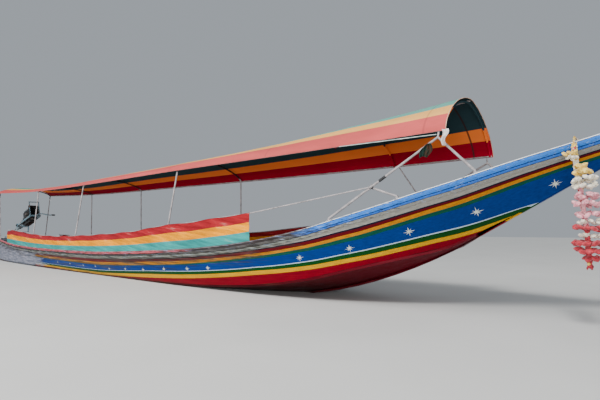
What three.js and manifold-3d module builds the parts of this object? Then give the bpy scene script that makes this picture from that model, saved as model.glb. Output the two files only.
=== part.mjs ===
import * as THREE from 'three';
import * as BufferGeometryUtils from 'three/addons/utils/BufferGeometryUtils.js';
import Module from 'manifold-3d';

// Longtail boat. Millimetres, +X to the bow, +Y to port, +Z up, origin on the centreline at the waterline
// amidships.

const wasm = await Module();
wasm.setup();

const GAP = 0.3;

// Hull lines: at each station the half breadth and height of the sheer, those of the chine, and the keel height.
const HULL_LINES = [
  // x, sheerHalf, sheerZ, chineHalf, chineZ, keelZ
  [-8500, 540, 725, 450, 55, -75],
  [-7700, 680, 660, 545, 25, -115],
  [-6450, 745, 545, 640, -10, -160],
  [-4800, 820, 488, 720, -25, -190],
  [-3000, 870, 474, 765, -25, -200],
  [-900, 910, 489, 790, -10, -200],
  [1340, 945, 586, 800, 30, -180],
  [2470, 940, 662, 790, 75, -130],
  [3620, 935, 785, 765, 165, -40],
  [4560, 930, 946, 720, 315, 115],
  [5170, 915, 1095, 640, 470, 280],
  [5760, 890, 1245, 480, 622, 488],
  [6280, 830, 1390, 260, 765, 720],
  [6600, 770, 1480, 100, 928, 893],
  [7180, 580, 1670, 62, 1222, 1220],
  [7880, 330, 1885, 60, 1622, 1620],
  [8420, 150, 2060, 59, 1882, 1880],
  [8900, 75, 2230, 58, 2112, 2110],
];
const STATION_STEPS = 2;

const PLANK = 28;
const BOTTOM_PLANK = 30;
const BOTTOM_EASE = 2;
const BOTTOM_END_X = 6600;
const KEEL_WIDTH = 56;
const KEEL_DEPTH = 28;
const STEM_DEPTH = 6;
const STEM_FINE_X = 6900;
const STEM_START_X = 5170;
const STEM_RISE = 120;

const GUNWALE_DEPTH = 100;
const GUNWALE_PROUD = 24;
const GUNWALE_CAP = 26;
const GUNWALE_INBOARD = 18;

const RIB_WIDTH = 42;
const RIB_DEPTH = 40;
const RIB_FIRST_X = -7950;
const RIB_PITCH = 760;
const RIB_COUNT = 17;
const RIB_TOP_DROP = 46;
const KEELSON_WIDTH = 90;
const KEELSON_DROP = 40;
const KEELSON_PAST = 60;
const TRIM = 6;
const RIB_FOOT_RISE = 4;
const RIB_GROUP = 3;
const FLOOR_RISE = 16;
const FLOOR_THICK = 22;
const FLOOR_FROM_X = -5400;
const FLOOR_TO_X = 4560;

const DECK_THICK = 20;
const FOREDECK_FROM_X = 6280;
const FOREDECK_TO_X = 8420;
const FOREDECK_DROP = 40;
const AFT_DECK_FROM_X = -8440;
const AFT_DECK_TO_X = -6450;
const AFT_DECK_DROP = 250;

const BENCH_FIRST_X = -2900;
const BENCH_PITCH = 1020;
const BENCH_COUNT = 6;
const SEAT_RISE = 235;
const SEAT_DEPTH = 340;
const SEAT_BOARD = 20;
const LEG_LENGTH = 280;
const BACK_HEIGHT = 380;
const BACK_LEAN = 60;
const CUSHION_THICK = 60;

// Canopy lines: at each station the edge half width and height, the ridge height, and how far the arch
// drops to port for each millimetre across, because the whole canopy leans that way forward.
const CANOPY_LINES = [
  // x, edgeHalf, edgeZ, ridgeZ, lean
  [-7800, 790, 2105, 2330, 0],
  [-6600, 785, 2060, 2240, 0],
  [-5200, 785, 2013, 2190, 0],
  [-3100, 790, 1986, 2200, 0.011],
  [-700, 800, 1990, 2256, 0.028],
  [1500, 825, 1993, 2292, 0.046],
  [3600, 850, 1992, 2378, 0.047],
  [5000, 852, 1997, 2458, 0.048],
  [6550, 850, 2011, 2587, 0.052],
];
// The arch is a little more pointed than an ellipse: the power of its sine and cosine
const ARCH_POWER = 1.22;
const COVER_THICK = 6;
const COVER_STEPS = 14;
const RAIL_RADIUS = 11;
const EDGE_HEM = 2;
const RAIL_FROM_X = -7785;
const RAIL_TO_X = 6535;
const HOOP_RADIUS = 14;
const HOOP_STATIONS = [
  // hoop x, post foot x
  [6515, null],
  [5060, null],
  [1580, 1440],
  [-2120, -2270],
  [-4750, -4850],
  [-7720, -7780],
];
const HOOP_STEPS = 16;
const POST_INSET = 20;
const FOOT_LENGTH = 90;
const FOOT_WIDTH = 40;
const FOOT_THICK = 6;

const CURTAIN_FROM_X = -6900;
const CURTAIN_TO_X = 3620;
const CURTAIN_THICK = 4;
const CURTAIN_OUT = 10;
const CURTAIN_RAIL_RADIUS = 8;
// Height of the starboard curtain's top line at stations from aft: it dips between the posts and rises to
// the bow. The port one hangs lower.
const CURTAIN_TOP = [
  [-6900, 985], [-6200, 960], [-4850, 870], [-3400, 825], [-2270, 840], [-950, 880],
  [420, 950], [1440, 1055], [2100, 1095], [2830, 1160], [3620, 1225],
];
const CURTAIN_PORT_DROP = 150;
const CURTAIN_RAIL_ENDS = [CURTAIN_FROM_X, -2270, CURTAIN_TO_X];
const CURTAIN_RAIL_SPLIT = 4;
const RAIL_HEAD_PAST = 40;

const STRUT_RADIUS = 16;
const BRACE_RADIUS = 13;
const STRUT_LINK_RADIUS = 10;
// The struts' upper joint, at the height that it would have without the canopy's lean
const STRUT_TOP = [6465, 858, 1940];
const STRUT_LONG_FOOT_X = 5020;
const STRUT_BRACE_AT = 0.58;
const STRUT_BRACE_FOOT_X = 5960;
const STRUT_FRONT_FOOT_X = 6800;
const STAY_TOP_X = 5130;
const STAY_FOOT_X = 5600;
const STAY_RADIUS = 10;
const STAY_INSET = 12;

// Stern drive: the pivot, the shaft's slope and the engine's box, all at rest.
const PIVOT = [-7900, 0, 1120];
const SHAFT_SLOPE = 0.29;
const SHAFT_LENGTH = 4900;
const SHAFT_RADIUS = 32;
const PROPELLER_RADIUS = 165;
const POST_SIZE = 130;
const YOKE_PLATE = 14;
const YOKE_HALF = 175;
const MOVE_GAP = 6;
const CRADLE_AFT = -130;
const CRADLE_FRONT = 1060;
const CRADLE_RAIL_WIDTH = 40;
const CRADLE_RAIL_HEIGHT = 50;
const CRANKCASE_HALF = 112;
const CRANKCASE_DROP = 130;
const ENGINE_AFT = 250;
const ENGINE_FRONT = 880;
const RADIATOR_AT = 950;
const TILLER_REACH = 2400;

const GARLAND_X = 7690;
const GARLAND_RADIUS = 36;
const GARLAND_LENGTH = 1290;

// Materials
const material = (color, roughness, metalness = 0) =>
  new THREE.MeshStandardMaterial({ color, roughness, metalness });
const hullPaint = () => material(0x1f5a96, 0.45);
const maroonPaint = () => material(0x4a0610, 0.5);
const timber = () => material(0x8a6440, 0.7);
const galvanised = () => material(0xb9bcbc, 0.4, 0.7);
const darkIron = () => material(0x24262a, 0.55, 0.4);
const vinyl = (color) => material(color, 0.55);

const model = new THREE.Group();
const addPart = (name, geometry, mat) => {
  const mesh = new THREE.Mesh(geometry, mat);
  mesh.name = name;
  model.add(mesh);
  return mesh;
};

// Boolean joins and cuts
const toSolid = (geometry) => {
  const bare = geometry.clone();
  bare.deleteAttribute('normal');
  bare.deleteAttribute('uv');
  const merged = BufferGeometryUtils.mergeVertices(bare, 1e-3);
  const index = merged.index.array;
  const points = merged.attributes.position.array;
  return new wasm.Manifold(new wasm.Mesh({
    numProp: 3,
    vertProperties: Float32Array.from(points),
    triVerts: Uint32Array.from(index),
  }));
};
const toGeometry = (solid) => {
  const mesh = solid.getMesh();
  const geometry = new THREE.BufferGeometry();
  geometry.setAttribute('position', new THREE.BufferAttribute(Float32Array.from(mesh.vertProperties), 3));
  geometry.setIndex(Array.from(mesh.triVerts));
  return geometry;
};
const union = (geometries) =>
  toGeometry(geometries.map(toSolid).reduce((joined, solid) => joined.add(solid)));

// A loft through closed rings that all have the same number of points, with flat ends.
const loft = (rings) => {
  const count = rings[0].length;
  const points = rings.flat(2);
  const faces = [];
  for (let r = 0; r + 1 < rings.length; r += 1) {
    for (let i = 0; i < count; i += 1) {
      const a = r * count + i;
      const b = r * count + ((i + 1) % count);
      faces.push(a, b, b + count, a, b + count, a + count);
    }
  }
  const capFaces = (ring, start, flip) => {
    const axisPair = capPlane(ring);
    const contour = ring.map((p) => new THREE.Vector2(p[axisPair[0]], p[axisPair[1]]));
    const backward = THREE.ShapeUtils.area(contour) < 0;
    for (const tri of THREE.ShapeUtils.triangulateShape(contour, [])) {
      const order = flip !== backward ? [tri[0], tri[2], tri[1]] : tri;
      faces.push(...order.map((i) => start + i));
    }
  };
  capFaces(rings[0], 0, true);
  capFaces(rings[rings.length - 1], (rings.length - 1) * count, false);
  const geometry = new THREE.BufferGeometry();
  geometry.setAttribute('position', new THREE.Float32BufferAttribute(points, 3));
  geometry.setIndex(faces);
  return facesOut(geometry);
};
const capPlane = (ring) => {
  const normal = new THREE.Vector3();
  const at = (i) => new THREE.Vector3(...ring[i % ring.length]);
  ring.forEach((_, i) => normal.add(at(i).cross(at(i + 1))));
  const sizes = normal.toArray().map(Math.abs);
  const dropped = sizes.indexOf(Math.max(...sizes));
  return [0, 1, 2].filter((k) => k !== dropped);
};
const signedVolume = (geometry) => {
  const index = geometry.index.array;
  const at = (i) => new THREE.Vector3().fromBufferAttribute(geometry.attributes.position, i);
  let sum = 0;
  for (let i = 0; i < index.length; i += 3) {
    sum += at(index[i]).dot(at(index[i + 1]).cross(at(index[i + 2])));
  }
  return sum / 6;
};
const facesOut = (geometry) => {
  if (signedVolume(geometry) > 0) {
    return geometry;
  }
  const index = Array.from(geometry.index.array);
  for (let i = 0; i < index.length; i += 3) {
    [index[i + 1], index[i + 2]] = [index[i + 2], index[i + 1]];
  }
  geometry.setIndex(index);
  return geometry;
};
const mirrorRings = (rings, side) => rings.map((ring) => ring.map(([x, y, z]) => [x, y * side, z]));

// Straight and bent tubes
const rod = (from, to, radius, sides = 10) => {
  const a = new THREE.Vector3(...from);
  const b = new THREE.Vector3(...to);
  const length = a.distanceTo(b);
  const geometry = new THREE.CylinderGeometry(radius, radius, length, sides);
  const turn = new THREE.Quaternion().setFromUnitVectors(
    new THREE.Vector3(0, 1, 0), b.clone().sub(a).normalize());
  geometry.applyQuaternion(turn);
  const middle = a.add(b).multiplyScalar(0.5);
  return geometry.translate(middle.x, middle.y, middle.z);
};
const box = (center, size, pitch = 0) => {
  const geometry = new THREE.BoxGeometry(...size);
  geometry.rotateY(-pitch);
  return geometry.translate(...center);
};
const tubeRing = (center, along, radius, sides) => {
  const side = new THREE.Vector3(1, 0, 0);
  if (Math.abs(along.x) > 0.7) {
    side.set(0, 1, 0);
  }
  const u = side.clone().sub(along.clone().multiplyScalar(side.dot(along))).normalize();
  const v = along.clone().cross(u);
  const ring = [];
  for (let i = 0; i < sides; i += 1) {
    const angle = (i * 2 * Math.PI) / sides;
    const p = center.clone()
      .addScaledVector(u, radius * Math.cos(angle))
      .addScaledVector(v, radius * Math.sin(angle));
    ring.push([p.x, p.y, p.z]);
  }
  return ring;
};
const bentTube = (path, radius, sides = 10) => {
  const points = path.map((p) => new THREE.Vector3(...p));
  const rings = points.map((point, i) => {
    const before = points[Math.max(i - 1, 0)];
    const after = points[Math.min(i + 1, points.length - 1)];
    const arrive = point.clone().sub(before).normalize();
    const leave = after.clone().sub(point).normalize();
    const along = arrive.add(leave).normalize();
    return tubeRing(point, along, radius, sides);
  });
  return loft(rings);
};

// Lines between the stations
const smoothRows = (table, steps) => {
  const rows = [];
  const slopeAt = (i, k) => {
    if (i === 0 || i === table.length - 1) {
      const j = i === 0 ? 1 : i;
      return (table[j][k] - table[j - 1][k]) / (table[j][0] - table[j - 1][0]);
    }
    return (table[i + 1][k] - table[i - 1][k]) / (table[i + 1][0] - table[i - 1][0]);
  };
  for (let i = 0; i + 1 < table.length; i += 1) {
    const span = table[i + 1][0] - table[i][0];
    for (let s = 0; s < steps; s += 1) {
      const t = s / steps;
      const row = table[i].map((value, k) => {
        if (k === 0) {
          return value + span * t;
        }
        const rise = (1 + 2 * t) * (1 - t) * (1 - t) * value + t * t * (3 - 2 * t) * table[i + 1][k];
        const turn = t * (1 - t) * (1 - t) * slopeAt(i, k) - t * t * (1 - t) * slopeAt(i + 1, k);
        return rise + turn * span;
      });
      rows.push(row);
    }
  }
  rows.push([...table[table.length - 1]]);
  return rows;
};
const rowAt = (rows, x) => {
  const last = rows.length - 2;
  let i = 0;
  while (i < last && rows[i + 1][0] < x) {
    i += 1;
  }
  const t = (x - rows[i][0]) / (rows[i + 1][0] - rows[i][0]);
  return rows[i].map((value, k) => (k === 0 ? x : value + (rows[i + 1][k] - value) * t));
};
const rowsBetween = (rows, fromX, toX) => [
  rowAt(rows, fromX),
  ...rows.filter((row) => row[0] > fromX + 1 && row[0] < toX - 1),
  rowAt(rows, toX),
];

const hullRows = smoothRows(HULL_LINES, STATION_STEPS);
const canopyRows = smoothRows(CANOPY_LINES, STATION_STEPS);
const [STERN_X] = HULL_LINES[0];
const [BOW_X] = HULL_LINES[HULL_LINES.length - 1];

const hullAt = (x) => {
  const [, sheerHalf, sheerZ, chineHalf, chineZ, keelZ] = rowAt(hullRows, x);
  return { x, sheerHalf, sheerZ, chineHalf, chineZ, keelZ };
};
const flareAt = (x) => {
  const h = hullAt(x);
  return (h.sheerHalf - h.chineHalf) / (h.sheerZ - h.chineZ);
};
const outerHalf = (x, z) => {
  const h = hullAt(x);
  return h.sheerHalf - (h.sheerZ - z) * flareAt(x);
};
const innerHalf = (x, z) => outerHalf(x, z) - PLANK;
const keelTop = (h) => Math.min(h.keelZ + BOTTOM_PLANK, h.chineZ - GAP);
const bottomTop = (x, y) => {
  const h = hullAt(x);
  const t = Math.min(Math.abs(y) / h.chineHalf, 1);
  return keelTop(h) * (1 - t) + (h.chineZ - GAP) * t;
};
const canopyAt = (x) => {
  const [, edgeHalf, edgeZ, ridgeZ, lean] = rowAt(canopyRows, x);
  return { x, edgeHalf, edgeZ, ridgeZ, lean };
};
const sides = [['starboard', -1], ['port', 1]];

// Side planking: one flared skin on each side from the sheer to the chine, with a seam line at the
// gunwale's lower edge
const seamAt = (x) => {
  const h = hullAt(x);
  const z = h.sheerZ - Math.min(GUNWALE_DEPTH, 0.6 * (h.sheerZ - h.chineZ));
  return { half: outerHalf(x, z), z };
};
for (const [side, sign] of sides) {
  const rings = hullRows.map(([x, sheerHalf, sheerZ, chineHalf, chineZ]) => {
    const seam = seamAt(x);
    return [
      [x, sheerHalf, sheerZ],
      [x, seam.half, seam.z],
      [x, chineHalf, chineZ],
      [x, chineHalf - PLANK, chineZ],
      [x, seam.half - PLANK, seam.z],
      [x, sheerHalf - PLANK, sheerZ],
    ];
  });
  addPart(`side_planking_${side}`, loft(mirrorRings(rings, sign)), hullPaint());
}

// Bottom planking: a shallow vee from chine to chine, in two mirrored halves joined at the keel
{
  const rings = rowsBetween(hullRows, STERN_X, BOTTOM_END_X).map(([x, , , chineHalf, chineZ, keelZ]) => [
    [x, 0, keelTop({ keelZ, chineZ })],
    [x, chineHalf, chineZ - GAP],
    [x, chineHalf, chineZ - BOTTOM_PLANK],
    [x, 0, keelZ],
  ]);
  addPart('bottom_planking', union(sides.map(([, sign]) => loft(mirrorRings(rings, sign)))), maroonPaint());
}

// The room inside the planking, which trims ribs and decks to the hull
const insideRings = rowsBetween(hullRows, STERN_X + 1, BOW_X - 1).map(([x, sheerHalf, sheerZ, chineHalf, chineZ]) => {
  const seam = seamAt(x);
  const chineInner = chineHalf - PLANK - GAP;
  return [
    [x, 0, bottomTop(x, 0) + GAP],
    [x, chineInner, Math.min(bottomTop(x, chineInner) + BOTTOM_EASE, chineZ)],
    [x, chineInner, chineZ + 1],
    [x, seam.half - PLANK - GAP, seam.z],
    [x, sheerHalf - PLANK - GAP, sheerZ],
    [x, 0, sheerZ],
  ];
});
const inside = sides.map(([, sign]) => toSolid(loft(mirrorRings(insideRings, sign))))
  .reduce((joined, half) => joined.add(half));
const fitInside = (geometry) => toGeometry(toSolid(geometry).intersect(inside));

// Keel under the bottom, and the stem that carries the plank ends up to the raked head
{
  const half = KEEL_WIDTH / 2;
  const keelRings = rowsBetween(hullRows, STERN_X, STEM_START_X - GAP).map(([x, , , , , keelZ]) => [
    [x, -half, keelZ - GAP],
    [x, half, keelZ - GAP],
    [x, half, keelZ - KEEL_DEPTH],
    [x, -half, keelZ - KEEL_DEPTH],
  ]);
  addPart('keel', loft(keelRings), maroonPaint());
  const stemDepth = (x) => {
    const share = Math.min(1, (x - STEM_START_X) / (STEM_FINE_X - STEM_START_X));
    return KEEL_DEPTH + (STEM_DEPTH - KEEL_DEPTH) * share;
  };
  const outer = rowsBetween(hullRows, STEM_START_X, BOW_X).map(([x, , , , , keelZ]) => [x, keelZ - stemDepth(x)]);
  const under = rowsBetween(hullRows, STEM_START_X, BOTTOM_END_X + GAP)
    .map(([x, , , , , keelZ]) => [x, keelZ - GAP]);
  const inner = rowsBetween(hullRows, BOTTOM_END_X + GAP, BOW_X)
    .map(([x, , , , , keelZ]) => [x, keelZ + STEM_RISE]);
  const outline = new THREE.Shape();
  outline.moveTo(...outer[0]);
  outer.slice(1).forEach(([x, z]) => outline.lineTo(x, z));
  outline.bezierCurveTo(BOW_X + 190, 2175, BOW_X + 330, 2330, BOW_X + 360, 2560);
  outline.lineTo(BOW_X + 290, 2590);
  outline.bezierCurveTo(BOW_X + 250, 2450, BOW_X + 150, 2330, BOW_X + 20, 2275);
  [...inner].reverse().forEach(([x, z]) => outline.lineTo(x, z));
  [...under].reverse().forEach(([x, z]) => outline.lineTo(x, z));
  const stem = new THREE.ExtrudeGeometry(outline, { depth: KEEL_WIDTH, bevelEnabled: false, curveSegments: 6 });
  stem.rotateX(Math.PI / 2);
  stem.translate(0, half, 0);
  addPart('stem_post', stem, hullPaint());
}

// Transom board across the stern
{
  const h = hullAt(STERN_X);
  const outline = new THREE.Shape();
  outline.moveTo(h.sheerHalf, h.sheerZ);
  outline.lineTo(h.chineHalf, h.chineZ);
  outline.lineTo(h.chineHalf, h.chineZ - BOTTOM_PLANK);
  outline.lineTo(0, h.keelZ);
  outline.lineTo(-h.chineHalf, h.chineZ - BOTTOM_PLANK);
  outline.lineTo(-h.chineHalf, h.chineZ);
  outline.lineTo(-h.sheerHalf, h.sheerZ);
  outline.quadraticCurveTo(0, h.sheerZ - 60, h.sheerHalf, h.sheerZ);
  const transom = new THREE.ExtrudeGeometry(outline, { depth: PLANK, bevelEnabled: false, curveSegments: 8 });
  transom.rotateX(Math.PI / 2);
  transom.rotateZ(-Math.PI / 2);
  transom.translate(STERN_X - GAP, 0, 0);
  transom.computeBoundingBox();
  transom.translate(STERN_X - GAP - transom.boundingBox.max.x, 0, 0);
  addPart('transom', transom, hullPaint());
}

// Gunwales: an L-shaped rail that caps the planking and stands proud of its outer face
for (const [side, sign] of sides) {
  const rings = hullRows.map(([x, sheerHalf, sheerZ]) => {
    const seam = seamAt(x);
    const inboard = Math.max(sheerHalf - PLANK - GUNWALE_INBOARD, KEEL_WIDTH / 2 + 3);
    return [
      [x, sheerHalf + GAP, sheerZ + GAP],
      [x, seam.half + GAP, seam.z],
      [x, seam.half + GUNWALE_PROUD, seam.z],
      [x, sheerHalf + GUNWALE_PROUD, sheerZ + GUNWALE_CAP],
      [x, inboard, sheerZ + GUNWALE_CAP],
      [x, inboard, sheerZ + GAP],
    ];
  });
  addPart(`gunwale_${side}`, loft(mirrorRings(rings, sign)), hullPaint());
}

// Rib frames with the keelson: each rib runs up both sides from a flat-topped floor timber. They are built
// in groups, each with its length of the keelson.
const ribXs = Array.from({ length: RIB_COUNT }, (_, i) => RIB_FIRST_X + i * RIB_PITCH);
const floorUnder = (x) => hullAt(x).chineZ + FLOOR_RISE;
const ribFrame = (x) => {
  const ringAt = (at) => {
    const top = hullAt(at).sheerZ - RIB_TOP_DROP;
    const low = floorUnder(at);
    const foot = hullAt(at).chineZ + RIB_FOOT_RISE;
    const side = (z) => innerHalf(at, z) + TRIM;
    const right = [
      [at, side(top), top],
      [at, innerHalf(at, top) - RIB_DEPTH, top],
      [at, innerHalf(at, low) - RIB_DEPTH, low],
    ];
    const under = [
      [at, -side(foot), foot],
      [at, -side(foot), bottomTop(at, side(foot)) - TRIM],
      [at, 0, bottomTop(at, 0) - TRIM],
      [at, side(foot), bottomTop(at, side(foot)) - TRIM],
      [at, side(foot), foot],
    ];
    const left = [...right].reverse().map(([px, py, pz]) => [px, -py, pz]);
    return [...right, ...left, ...under];
  };
  return loft([ringAt(x - RIB_WIDTH / 2), ringAt(x + RIB_WIDTH / 2)]);
};
for (let first = 0; first < RIB_COUNT; first += RIB_GROUP) {
  const xs = ribXs.slice(first, first + RIB_GROUP);
  const last = xs[xs.length - 1];
  const aft = first === 0 ? xs[0] - KEELSON_PAST : xs[0];
  const ahead = last === ribXs[RIB_COUNT - 1] ? last + KEELSON_PAST : last + RIB_PITCH - RIB_WIDTH / 2 - GAP;
  const keelson = loft(rowsBetween(hullRows, aft, ahead).map(([x]) => {
    const half = KEELSON_WIDTH / 2;
    const high = floorUnder(x) - KEELSON_DROP;
    const low = bottomTop(x, 0) - TRIM;
    return [[x, -half, high], [x, half, high], [x, half, low], [x, -half, low]];
  }));
  addPart(`rib_frames_${first / RIB_GROUP + 1}`, fitInside(union([...xs.map(ribFrame), keelson])), timber());
}

// Floor boards on the ribs
{
  const rings = rowsBetween(hullRows, FLOOR_FROM_X, FLOOR_TO_X).map(([x]) => {
    const low = floorUnder(x) + GAP;
    const top = low + FLOOR_THICK;
    const half = innerHalf(x, low) - RIB_DEPTH - 12;
    return [[x, -half, low], [x, half, low], [x, half, top], [x, -half, top]];
  });
  addPart('floor_boards', loft(rings), timber());
}

// Decks at both ends, let in between the planks
const deck = (name, fromX, toX, topZ, reach) => {
  const rings = rowsBetween(hullRows, fromX, toX).map(([x]) => {
    const top = topZ(x);
    const low = top - DECK_THICK;
    const halfTop = innerHalf(x, top) - reach(x);
    const halfLow = innerHalf(x, low) - reach(x);
    return [[x, -halfLow, low], [x, halfLow, low], [x, halfTop, top], [x, -halfTop, top]];
  });
  addPart(name, fitInside(loft(rings)), timber());
};
deck('foredeck', FOREDECK_FROM_X, FOREDECK_TO_X, (x) => hullAt(x).sheerZ - FOREDECK_DROP, () => -6);
deck('aft_deck', AFT_DECK_FROM_X, AFT_DECK_TO_X, (x) => hullAt(x).sheerZ - AFT_DECK_DROP,
  () => RIB_DEPTH + 3 * GAP);

// Thwart benches with slanted backrests, and a cushion on each
for (let i = 0; i < BENCH_COUNT; i += 1) {
  const x = BENCH_FIRST_X + i * BENCH_PITCH;
  const floorTop = floorUnder(x) + GAP + FLOOR_THICK;
  const slope = (floorUnder(x + 200) - floorUnder(x - 200)) / 400;
  const seatZ = floorTop + SEAT_RISE;
  const half = innerHalf(x, seatZ) - RIB_DEPTH - 14;
  const legHalf = innerHalf(x, floorTop) - RIB_DEPTH - 40;
  const back = box([x - SEAT_DEPTH / 2 - BACK_LEAN / 2 + 6, 0, seatZ + BACK_HEIGHT / 2 - 10],
    [SEAT_BOARD, 2 * half, BACK_HEIGHT + 10], Math.atan2(BACK_LEAN, BACK_HEIGHT));
  const pieces = [
    box([x, 0, seatZ - SEAT_BOARD / 2], [SEAT_DEPTH, 2 * half, SEAT_BOARD]),
    back,
  ];
  const legDrop = floorTop + GAP + (Math.abs(slope) * LEG_LENGTH) / 2;
  for (const y of [-legHalf, 0, legHalf]) {
    pieces.push(box([x, y, (seatZ + legDrop) / 2 - 2], [LEG_LENGTH, 30, seatZ - legDrop - 4]));
  }
  addPart(`bench_${i + 1}`, union(pieces), timber());
  const cushion = box([x + 12, 0, seatZ + GAP + CUSHION_THICK / 2], [SEAT_DEPTH - 30, 2 * half - 30, CUSHION_THICK]);
  addPart(`seat_cushion_${i + 1}`, cushion, vinyl(0x9c1f2a));
}

// Canopy section: an arch from one edge over the ridge to the other, moved in by an inset
const archPoint = (x, angle, sideInset, topInset = sideInset) => {
  const c = canopyAt(x);
  const across = Math.abs(Math.cos(angle)) ** ARCH_POWER * Math.sign(Math.cos(angle));
  const up = Math.abs(Math.sin(angle)) ** ARCH_POWER;
  const y = (c.edgeHalf - sideInset) * across;
  return [x, y, c.edgeZ + (c.ridgeZ - c.edgeZ - topInset) * up - c.lean * y];
};
const archPath = (x, steps, sideInset, topInset) =>
  Array.from({ length: steps + 1 }, (_, i) =>
    archPoint(x, Math.PI * (1 - i / steps), sideInset, topInset));

// Canopy cover
{
  const rings = canopyRows.map(([x]) => [
    ...archPath(x, COVER_STEPS, 0),
    ...archPath(x, COVER_STEPS, COVER_THICK).reverse(),
  ]);
  addPart('canopy_cover', loft(rings), vinyl(0xb3383c));
}

// Lengthwise rails right under the cover, at the ridge and at both edges
const railInset = COVER_THICK + GAP + RAIL_RADIUS;
const railRun = rowsBetween(canopyRows, RAIL_FROM_X, RAIL_TO_X);
{
  const ridge = railRun.map(([x]) => archPoint(x, Math.PI / 2, railInset));
  addPart('ridge_rail', bentTube(ridge, RAIL_RADIUS), galvanised());
}
// How far the arch has come in from its edge at the height of the edge rail's top
const edgeIn = (x) => {
  const { edgeHalf, edgeZ, ridgeZ } = canopyAt(x);
  const angle = Math.asin((2 * RAIL_RADIUS / (ridgeZ - edgeZ)) ** (1 / ARCH_POWER));
  return edgeHalf - archPoint(x, angle, 0)[1];
};
const edgeRailAt = (x, sign) => {
  const [, y, z] = archPoint(x, sign > 0 ? 0 : Math.PI, railInset + edgeIn(x) + EDGE_HEM);
  return [x, y, z + RAIL_RADIUS];
};
for (const [side, sign] of sides) {
  addPart(`edge_rail_${side}`, bentTube(railRun.map(([x]) => edgeRailAt(x, sign)), RAIL_RADIUS), galvanised());
}

// Hoops with their posts down to the gunwales
const capTop = (x) => hullAt(x).sheerZ + GUNWALE_CAP;
const capPitch = (x) => Math.atan2(capTop(x + 60) - capTop(x - 60), 120);
const footY = (x) => hullAt(x).sheerHalf - POST_INSET;
const footPlate = (x, y) => box([x, y, capTop(x) + 2 * GAP + FOOT_THICK / 2],
  [FOOT_LENGTH, FOOT_WIDTH, FOOT_THICK], capPitch(x));
const hoopTopInset = railInset + RAIL_RADIUS + HOOP_RADIUS - 0.5;
const hoopSideInset = (x) => railInset + edgeIn(x) + EDGE_HEM + RAIL_RADIUS + HOOP_RADIUS;
HOOP_STATIONS.forEach(([x, footX], i) => {
  const arch = archPath(x, HOOP_STEPS, hoopSideInset(x), hoopTopInset);
  const pieces = [];
  if (footX === null) {
    pieces.push(bentTube(arch, HOOP_RADIUS));
  } else {
    const y = footY(footX);
    const footZ = capTop(footX) + 2 * GAP + FOOT_THICK;
    pieces.push(bentTube([[footX, -y, footZ], ...arch, [footX, y, footZ]], HOOP_RADIUS));
    pieces.push(footPlate(footX, -y), footPlate(footX, y));
  }
  addPart(`hoop_${i + 1}`, union(pieces), galvanised());
});

// Front strut frames, a long strut with a brace and a front strut on each side
const strutFeet = [STRUT_LONG_FOOT_X, STRUT_BRACE_FOOT_X, STRUT_FRONT_FOOT_X];
const between = (a, b, t) => a.map((value, k) => value + (b[k] - value) * t);
const strutTop = (sign) => {
  const [x, y, z] = STRUT_TOP;
  return [x, y * sign, z - canopyAt(x).lean * y * sign];
};
const strutJoint = (sign) => between(strutTop(sign),
  [STRUT_LONG_FOOT_X, footY(STRUT_LONG_FOOT_X) * sign, capTop(STRUT_LONG_FOOT_X) + 2 * STRUT_RADIUS],
  STRUT_BRACE_AT);
for (const [side, sign] of sides) {
  const top = strutTop(sign);
  const foot = (x) => [x, footY(x) * sign, capTop(x) + 2 * STRUT_RADIUS];
  const [railX, railY, railZ] = edgeRailAt(top[0], sign);
  const socket = (x) => rod([x, footY(x) * sign, capTop(x) + FOOT_THICK], foot(x), STRUT_RADIUS + 2);
  const longFoot = foot(STRUT_LONG_FOOT_X);
  const joint = strutJoint(sign);
  const pieces = [
    rod(top, [railX, railY, railZ - RAIL_RADIUS - 4 * GAP], STRUT_LINK_RADIUS),
    rod(top, longFoot, STRUT_RADIUS),
    rod(joint, foot(STRUT_BRACE_FOOT_X), BRACE_RADIUS),
    rod(top, foot(STRUT_FRONT_FOOT_X), STRUT_RADIUS),
    ...strutFeet.map((x) => footPlate(x, footY(x) * sign)),
    ...strutFeet.map(socket),
  ];
  addPart(`front_strut_frame_${side}`, union(pieces), galvanised());
}

// A slanting stay on the port side, from the edge rail down to the gunwale
{
  const [, railY, railZ] = edgeRailAt(STAY_TOP_X, 1);
  const foot = [STAY_FOOT_X, footY(STAY_FOOT_X) - STAY_INSET, capTop(STAY_FOOT_X) + 2 * STAY_RADIUS];
  const head = [STAY_TOP_X, railY - RAIL_RADIUS - STAY_RADIUS - 2 * GAP, railZ];
  const socket = rod([foot[0], foot[1], capTop(STAY_FOOT_X) + FOOT_THICK], foot, STAY_RADIUS + 2);
  addPart('canopy_stay_port', union([rod(head, foot, STAY_RADIUS), socket,
    footPlate(STAY_FOOT_X, foot[1])]), galvanised());
}

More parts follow.
